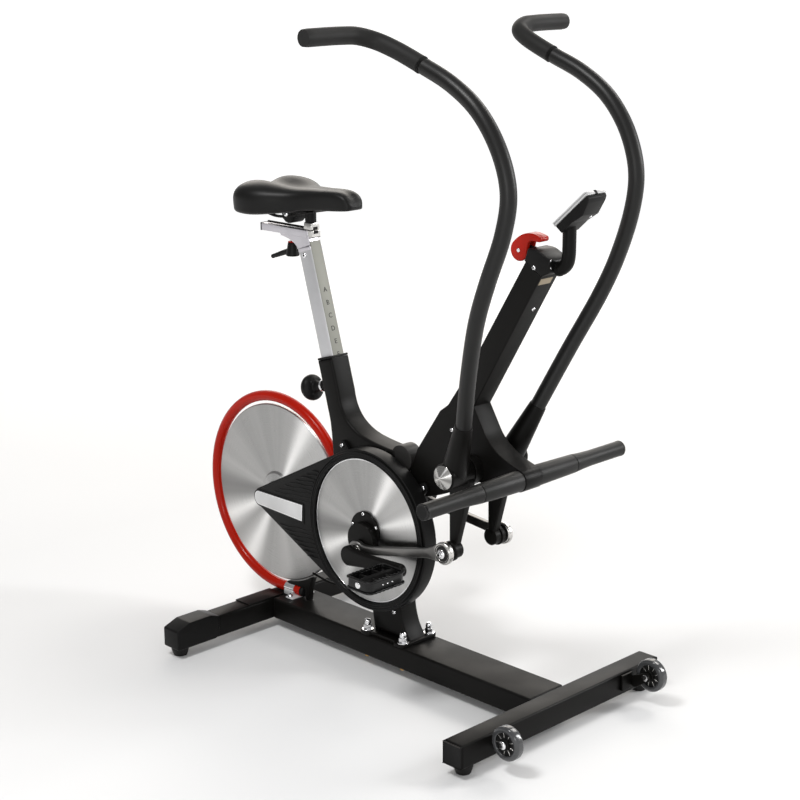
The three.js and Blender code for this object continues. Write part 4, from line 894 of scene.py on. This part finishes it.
def seat_head():
    head = [(-374, 921, 2), (-374, 935, 2), (-225, 935, 2), (-221.5, 921, 4), (-217, 905, 1), (-256, 892, 3)]
    outline = eased(head, 2, 4) + curve((-258, 894), (-272, 912), (-312, 916)) + [(-312, 916), (-316, 921)]
    slab("slide_tube", (-377.3, -16.2, 921.5), (-226, 16.2, 937.6), HEAD_METAL, "seat_post", 1.4)
    slab("slide_front", (-227, -13.5, 922), (-212.5, 13.5, 937.6), STEEL, "seat_post", 1.4)
    slab("slide_window", (-213.4, -6.5, 930), (-212, 6.5, 937), INK_AND_PAINTED_SHADE, "seat_post", 0.5)
    slab("slide_seam", (-213.3, -12.5, 921.6), (-212, 12.5, 923.2), INK_AND_PAINTED_SHADE, "seat_post", 0.3)
    plate("slide_head", outline, -14.6, 14.6, HEAD_METAL, "seat_post", 1.8, replaces=["seat_slide"])
    slab("slide_end", (-378.4, -17, 920.8), (-375.6, 17, 938.3), PLASTIC, "seat_post", 0.9)
    slab("slide_collar", (-20.8, -17.8, 239), (19.6, 17.8, 248), HEAD_METAL, "seat_post", 1.6, seat_place())

    body = "saddle"
    tube("carriage_rail", [(-365, -4, 941), (-300, -4, 941), (-236, -4, 941)], 2.4, POWDER, body, 20, True,
         replaces=["saddle_carriage"])
    slab("carriage_cube", (-239, -13.5, 938), (-214.5, 13.5, 954), STEEL, body, 2,
         taper=lambda co: co - LEFT * 0.15 * co.y if co.z > 940 else co)
    slab("carriage_window", (-215.4, -6.5, 938.6), (-214, 6.5, 945), INK_AND_PAINTED_SHADE, body, 0.5)
    clamp = [(0, -20.5), (16, -20.5), (19, -17), (19, 17), (16, 20.5), (0, 20.5)]
    lathe("saddle_clamp", clamp, SADDLE_CLAMP, LEFT, PLASTIC, body, 40, 2)
    tooth = [(0, 0), (2, 0), (1.2, 0.9), (0, 1)]
    rail = [(-372, 22, 976), (-352, 21.5, 966), (-325, 20, 960), (-283, 18, 962), (-245, 20, 972),
            (-200, 20, 981)]
    for side in (-1, 1):
        screw(f"saddle_clamp_bolt_{side + 1}", (-286, side * 20.5, 968), side * LEFT, 6.5, body, 4)
        for k, (x, z) in enumerate(arc(SADDLE_CLAMP[0], SADDLE_CLAMP[2], 15, 0, 324, 9)):
            lathe(f"saddle_clamp_tooth_{side + 1}{k}", tooth, (x, side * 20.4, z), side * LEFT, PLASTIC, body,
                  12, 0.3)
        line = spline_points([(x, side * y, z) for x, y, z in rail], 8)
        tube(f"saddle_rail_{side + 1}", line, 3.2, POWDER, body, 20, True)
    neck = [(0, 953), (12, 953), (12.4, 956), (12.4, 978), (15, SADDLE_UNDERSIDE), (0, SADDLE_UNDERSIDE)]
    lathe("saddle_neck", neck, (-229, 0, 0), UP, PLASTIC, body, 48, 1.2)
    lathe("carriage_stud", bar(5, 900, 939), CLAMP_AXIS, UP, CHROME, body, 32, 0.5)

    knob = [(0, 872), (14.5, 872), (15, 875), (12, 893), (10.5, 902), (0, 903.5)]
    lathe("lever_knob", knob, CLAMP_AXIS, UP, PLASTIC, "clamp_lever", 48, 1.2, replaces=["clamp_lever"])
    top = [(5.4, 902.6), (10.6, 902.6), (9.5, 905), (5.4, 905)]
    lathe("lever_top", top, CLAMP_AXIS, UP, RED, "clamp_lever", 48, 0.4)
    grip = spline_points([(-292, 0, 884), (-318, 0, 876), (-344, 0, 867), (-357, 0, 862.5)], 8)
    tube("lever_grip", grip, lambda t: 7 - 2.6 * t + (0.6 if t > 0.93 else 0), PLASTIC, "clamp_lever", 24,
         True)


# Half-width, top and bottom of the saddle at stations from its rear edge to the tip of its nose.
SADDLE_STATIONS = [
    (-389.5, 52, 1014, 990), (-388, 77, 1024, 976), (-383, 90, 1032, 970), (-372, 98.5, 1037.5, 967.5),
    (-357, 103, 1040.5, 966.8), (-338, 103.5, 1041, 966.5), (-320, 101, 1040, 967.5),
    (-300, 94, 1037.5, 970), (-280, 82, 1034, 972.3), (-260, 68, 1031.5, 975), (-240, 56, 1030.5, 977.8),
    (-220, 47, 1030.5, 982), (-200, 41.5, 1031, 985.2), (-180, 37.5, 1031.3, 986.8),
    (-160, 34.8, 1032.3, 987.6), (-142, 33, 1033.3, 989), (-123, 31.5, 1033, 990.5),
    (-108, 29.5, 1030, 991.8), (-96, 26.5, 1024.5, 993), (-88, 22.5, 1014, 994.5), (-85, 16, 1006, 998),
]


def saddle():
    """A firm foam saddle lofted through its stations: two rear lobes, a dip between, a rounded nose."""
    around = 72
    verts, faces = [], []
    for x, half, top, bottom in SADDLE_STATIONS:
        middle = bottom + 0.42 * (top - bottom)  # the height of the widest line
        rear = min(1.0, max(0.0, (-225 - x) / 80))  # one over the lobes
        front = min(1.0, max(0.0, (x + 240) / 80))  # one along the nose
        for k in range(around):
            a = 2 * math.pi * k / around
            c, s = math.cos(a), math.sin(a)
            width_power, height_power = (3.2 + 1.2 * front, 2.7 + 1.5 * front) if s > 0 else (7.0, 7.0)
            y = half * math.copysign(abs(c) ** (2 / width_power), c)
            rise = abs(s) ** (2 / height_power)
            if s > 0:
                dip = 14 * rear * math.exp(-(y / 27) ** 2) + 2.2 * (1 - rear) * math.exp(-(y / 9) ** 2)
                z = middle + (top - middle) * rise - dip * s
            else:
                z = middle - (middle - bottom) * rise
            if s < 0 and abs(y) > 0.8 * half:
                y *= 0.985
            verts.append((x, y, z))
    rows = len(SADDLE_STATIONS)
    for i in range(rows - 1):
        for k in range(around):
            n = (k + 1) % around
            faces.append([i * around + k, i * around + n, (i + 1) * around + n, (i + 1) * around + k])
    for row, x in ((0, -391), (rows - 1, -84)):
        ring = [row * around + k for k in range(around)]
        centre = sum((Vector(verts[v]) for v in ring), Vector()) / around
        inner = []
        for v in ring:
            inner.append(len(verts))
            p = centre + (Vector(verts[v]) - centre) * 0.6
            verts.append((x, p.y, p.z))
        faces += [[ring[k], ring[(k + 1) % around], inner[(k + 1) % around], inner[k]] for k in range(around)]
        hub = len(verts)
        verts.append((x, centre.y, centre.z))
        faces += [[inner[k], inner[(k + 1) % around], hub] for k in range(around)]
    mesh = bpy.data.meshes.new("saddle_cover")
    mesh.from_pydata(verts, [], faces)
    cover = add("saddle_cover", mesh, VINYL, "saddle", ["saddle"], 180)
    smooth = cover.modifiers.new("smooth", "SUBSURF")
    smooth.levels = smooth.render_levels = 2
    slab("saddle_base", (-365, -70, 976.5), (-215, 70, SADDLE_UNDERSIDE + 2), PLASTIC, "saddle", 3,
         taper=lambda co: Vector((co.x, co.y * (1 if co.x < -300 else 0.55), co.z)))


# ---- head, shift lever and console ----
def controls():
    block = [(419, 981, 4), (444, 980.5, 10), (466, 969, 6), (474, 961, 4), (471, 938, 3), (454, 930, 1.5),
             (410, 955, 1.5), (415, 968, 2)]
    plate("head_cover", eased(block, 2, 5), -27, 27, PLASTIC, "frame", 3, replaces=["head_block"])
    plate("head_ear", capsule(SHIFT, 11, (425, 968), 11), -4.5, 4.5, PLASTIC, "frame", 0.8)
    for hand, side in HANDS:
        screw(f"head_screw_{hand}", (436, side * 27, 945.5), side * LEFT, 4.6, "frame", 3)
    for x, y, z in ((473.8, -22, 963), (472.2, -20, 949)):
        screw(f"head_dot_{int(z)}", (x, y, z), (1, 0, 0), 2.2, "frame")

    tip = curve((370.2, 987.5), (388, 1005), (408, 1007)) + [(408, 1007)]
    tip += curve((408, 1007), (420, 1008), (434, 1003), 6) + arc(433.5, 997.5, 5.6, 80, -100, 10)
    tip += [(420, 992.5)]
    lever = arc(*SHIFT, 21.5, -30, -230, 40) + tip + curve(tip[-1], (410, 994), (407, 984)) + [(406, 980)]
    pin = [(0, 12.5), (4.2, 12.5), (4.2, 14), (3, 14.6), (0, 14.6)]
    for hand, side in HANDS:
        plate(f"shift_cheek_{hand}", lever, side * 5.2, side * 13, RED, "shift_lever", 2.4,
              replaces=["shift_lever"] if side < 0 else ())
        spun(f"shift_pin_{hand}", pin, SHIFT, side, CHROME, "shift_lever", sides=28, ease=0.5)
    crown = arc(*SHIFT, 21.5, -200, -230, 8) + tip + curve(tip[-1], (410, 994), (406, 988))
    plate("shift_crown", crown + arc(*SHIFT, 15.5, 40, 160, 12), -9, 9, RED, "shift_lever", 2)
    console()


def console():
    stem = spline_points([(472, 0, 944), (484, 0, 947.5), (495, 0, 958), (499, 0, 974), (499.5, 0, 990),
                          (499.5, 0, 1031)], 8)
    tube("stem", stem, 13.2, POWDER, "frame", 40, replaces=["console_stem"])
    for k in range(2):
        below, at, above = stem[1 + 2 * k:4 + 2 * k]
        lathe(f"stem_ring_{k}", sleeve(13, 14.3, -1.2, 1.2), at, above - below, PLASTIC, "frame", 40, 0.6)

    along = Vector((73.5, 0, 65.5)).normalized()
    face = Vector((-along.z, 0, along.x))
    place = placed(CONSOLE, along, face)
    length = 98.4
    slab("console_bezel", (-1.5, -29, -5), (length + 0.5, 29, -0.6), BEZEL, "frame", 1.2, place)
    slab("console_groove", (-0.6, -28.2, -1), (length - 0.6, 28.2, 0.2), INK_AND_PAINTED_SHADE, "frame", 0.2, place)
    slab("console_lid", (-1.5, -29, -0.2), (length + 0.5, 29, 3), BEZEL, "frame", 1.2, place)
    slab("console_screen", (9, -23, 2.4), (length - 9, 23, 3.3), SCREEN, "frame", 0.3, place)

    def narrow(co):
        depth = (co - CONSOLE).dot(-face)
        return Vector((co.x, co.y * (1 - 0.23 * min(1.0, max(0.0, (depth - 6) / 28))), co.z))

    shell = [(488.7, 1031.2), (561.2, 1096), (565, 1091), (563, 1083), (549, 1057), (524, 1041),
             (500, 1019.5)]
    plate("console_shell", eased(shell, 1.2, 3), -28.6, 28.6, PLASTIC, "frame", 2, replaces=["console"],
          warp=narrow)
    for hand, side in HANDS:
        tab = box((length - 3, side * 4, -5), (length + 2.2, side * 26, 2))
        slab(f"console_tab_{hand}", *tab, BEZEL, "frame", 0.6, place)
    slab("console_gap", (length - 3, -4.5, -5.4), (length + 1.2, 4.5, 3.4), INK_AND_PAINTED_SHADE, "frame", 0.4, place)
    lathe("console_screw", [(0, 0), (3.4, 0), (2.4, 1.6), (0, 2)], (540, 11, 1051), (16, 0, -25), CHROME,
          "frame", 24, 0.5)


# ---- set: floor, lights and camera ----
def floor():
    mat, graph, shader = new_material("studio_floor", (0.8, 0.8, 0.8), 0.7, Specular_IOR_Level=0.1,
                                      Emission_Color=(1, 1, 1, 1))
    graph.tint(shader, graph.noise(0.8, 2.0), (0.79, 0.79, 0.79), (0.81, 0.81, 0.81))
    distance = graph.add("ShaderNodeVectorMath", (graph.place(),), "Value", operation="LENGTH")
    graph.link(graph.remap(distance, 0.0, 0.62, 1.2, 7.0), shader.inputs["Emission Strength"])
    mesh = bpy.data.meshes.new("floor")
    reach = 40.0
    mesh.from_pydata([(-reach, -reach, 0), (reach, -reach, 0), (reach, reach, 0), (-reach, reach, 0)], [],
                     [(0, 1, 2, 3)])
    mesh.materials.append(mat)
    obj = bpy.data.objects.new("floor", mesh)
    bpy.context.scene.collection.objects.link(obj)


def light(name, at, target, size, watts, shape_ratio=1.0, color=(1, 1, 1)):
    lamp = bpy.data.lights.new(name, "AREA")
    lamp.color = color
    lamp.shape = "RECTANGLE"
    lamp.size, lamp.size_y = size, size * shape_ratio
    lamp.energy = watts
    obj = bpy.data.objects.new(name, lamp)
    obj.location = at
    obj.rotation_euler = (Vector(target) - Vector(at)).to_track_quat("-Z", "Y").to_euler()
    bpy.context.scene.collection.objects.link(obj)


def studio():
    """A white sky, dimmer overhead and to both sides of the camera's line, and five soft lights."""
    world = bpy.data.worlds.new("studio")
    world.use_nodes = True
    graph = Graph(world.node_tree)
    direction = graph.place("Generated")

    def fade(toward, start, end, low):
        """One in most of the sky, and low in the part of it that lies towards a direction."""
        inputs = (direction, Vector(toward).normalized())
        reach = graph.add("ShaderNodeVectorMath", inputs, "Value", operation="DOT_PRODUCT")
        return graph.remap(reach, 1.0, low, start, end)

    total = fade((-1, -1, 0), 0.2, 0.85, 0.3)
    for part in (fade(UP, 0.2, 0.8, 0.5), fade((1, 1, 0), 0.4, 1.0, 0.7)):
        total = graph.maths("MULTIPLY", total, part)
    sky = world.node_tree.nodes["Background"].inputs
    graph.link(total, sky["Strength"])
    sky["Color"].default_value = (1, 1, 1, 1)
    bpy.context.scene.world = world
    bpy.context.scene.view_settings.view_transform = "Standard"
    disc = Vector((CRANK[0] * MM, -0.07, CRANK[1] * MM))
    light("key", disc + Vector((0, -0.5, 0.87)) * 4.2, disc, 0.9, 80)
    light("side", disc + Vector((0.5, -0.85, 0.25)) * 4.2, disc, 0.6, 25)
    light("back", (-3.2, 3.2, 2.8), (0, 0, 0.5), 4.0, 66, 0.5, (1, 0.93, 0.84))
    light("top", (0.2, 3.0, 3.3), (0.1, 0, 0.5), 1.6, 34, 0.6, (1, 0.97, 0.93))
    light("strip", (2.8, 2.9, 2.1), (0, 0, 0.9), 0.6, 80, 3.0)


def camera():
    data = bpy.data.cameras.new("camera")
    data.lens = 80.03
    data.sensor_width = 36
    data.clip_end = 200
    obj = bpy.data.objects.new("camera", data)
    yaw, pitch, roll = (math.radians(a) for a in (135.45, -15.14, -0.28))
    turn = (Matrix.Rotation(yaw - math.pi / 2, 4, "Z") @ Matrix.Rotation(math.pi / 2 + pitch, 4, "X")
            @ Matrix.Rotation(roll, 4, "Z"))
    obj.matrix_world = Matrix.Translation((2.6283, -2.5441, 1.5870)) @ turn
    bpy.context.scene.collection.objects.link(obj)
    bpy.context.scene.camera = obj


camera()
studio()
floor()
floor_frame()
transport_wheels()
main_frame()
tower_and_bracket()
pegs()
belt_guard()
drive()
handles()
flywheel_group()
seat_tube_parts()
seat_head()
saddle()
controls()

for node in ("crank_spindle", "crank_bearing", "flywheel_pulley", "magnet_pivot_pin"):
    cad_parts[node].data.materials[0] = STEEL
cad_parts["drive_belt"].data.materials[0] = RUBBER
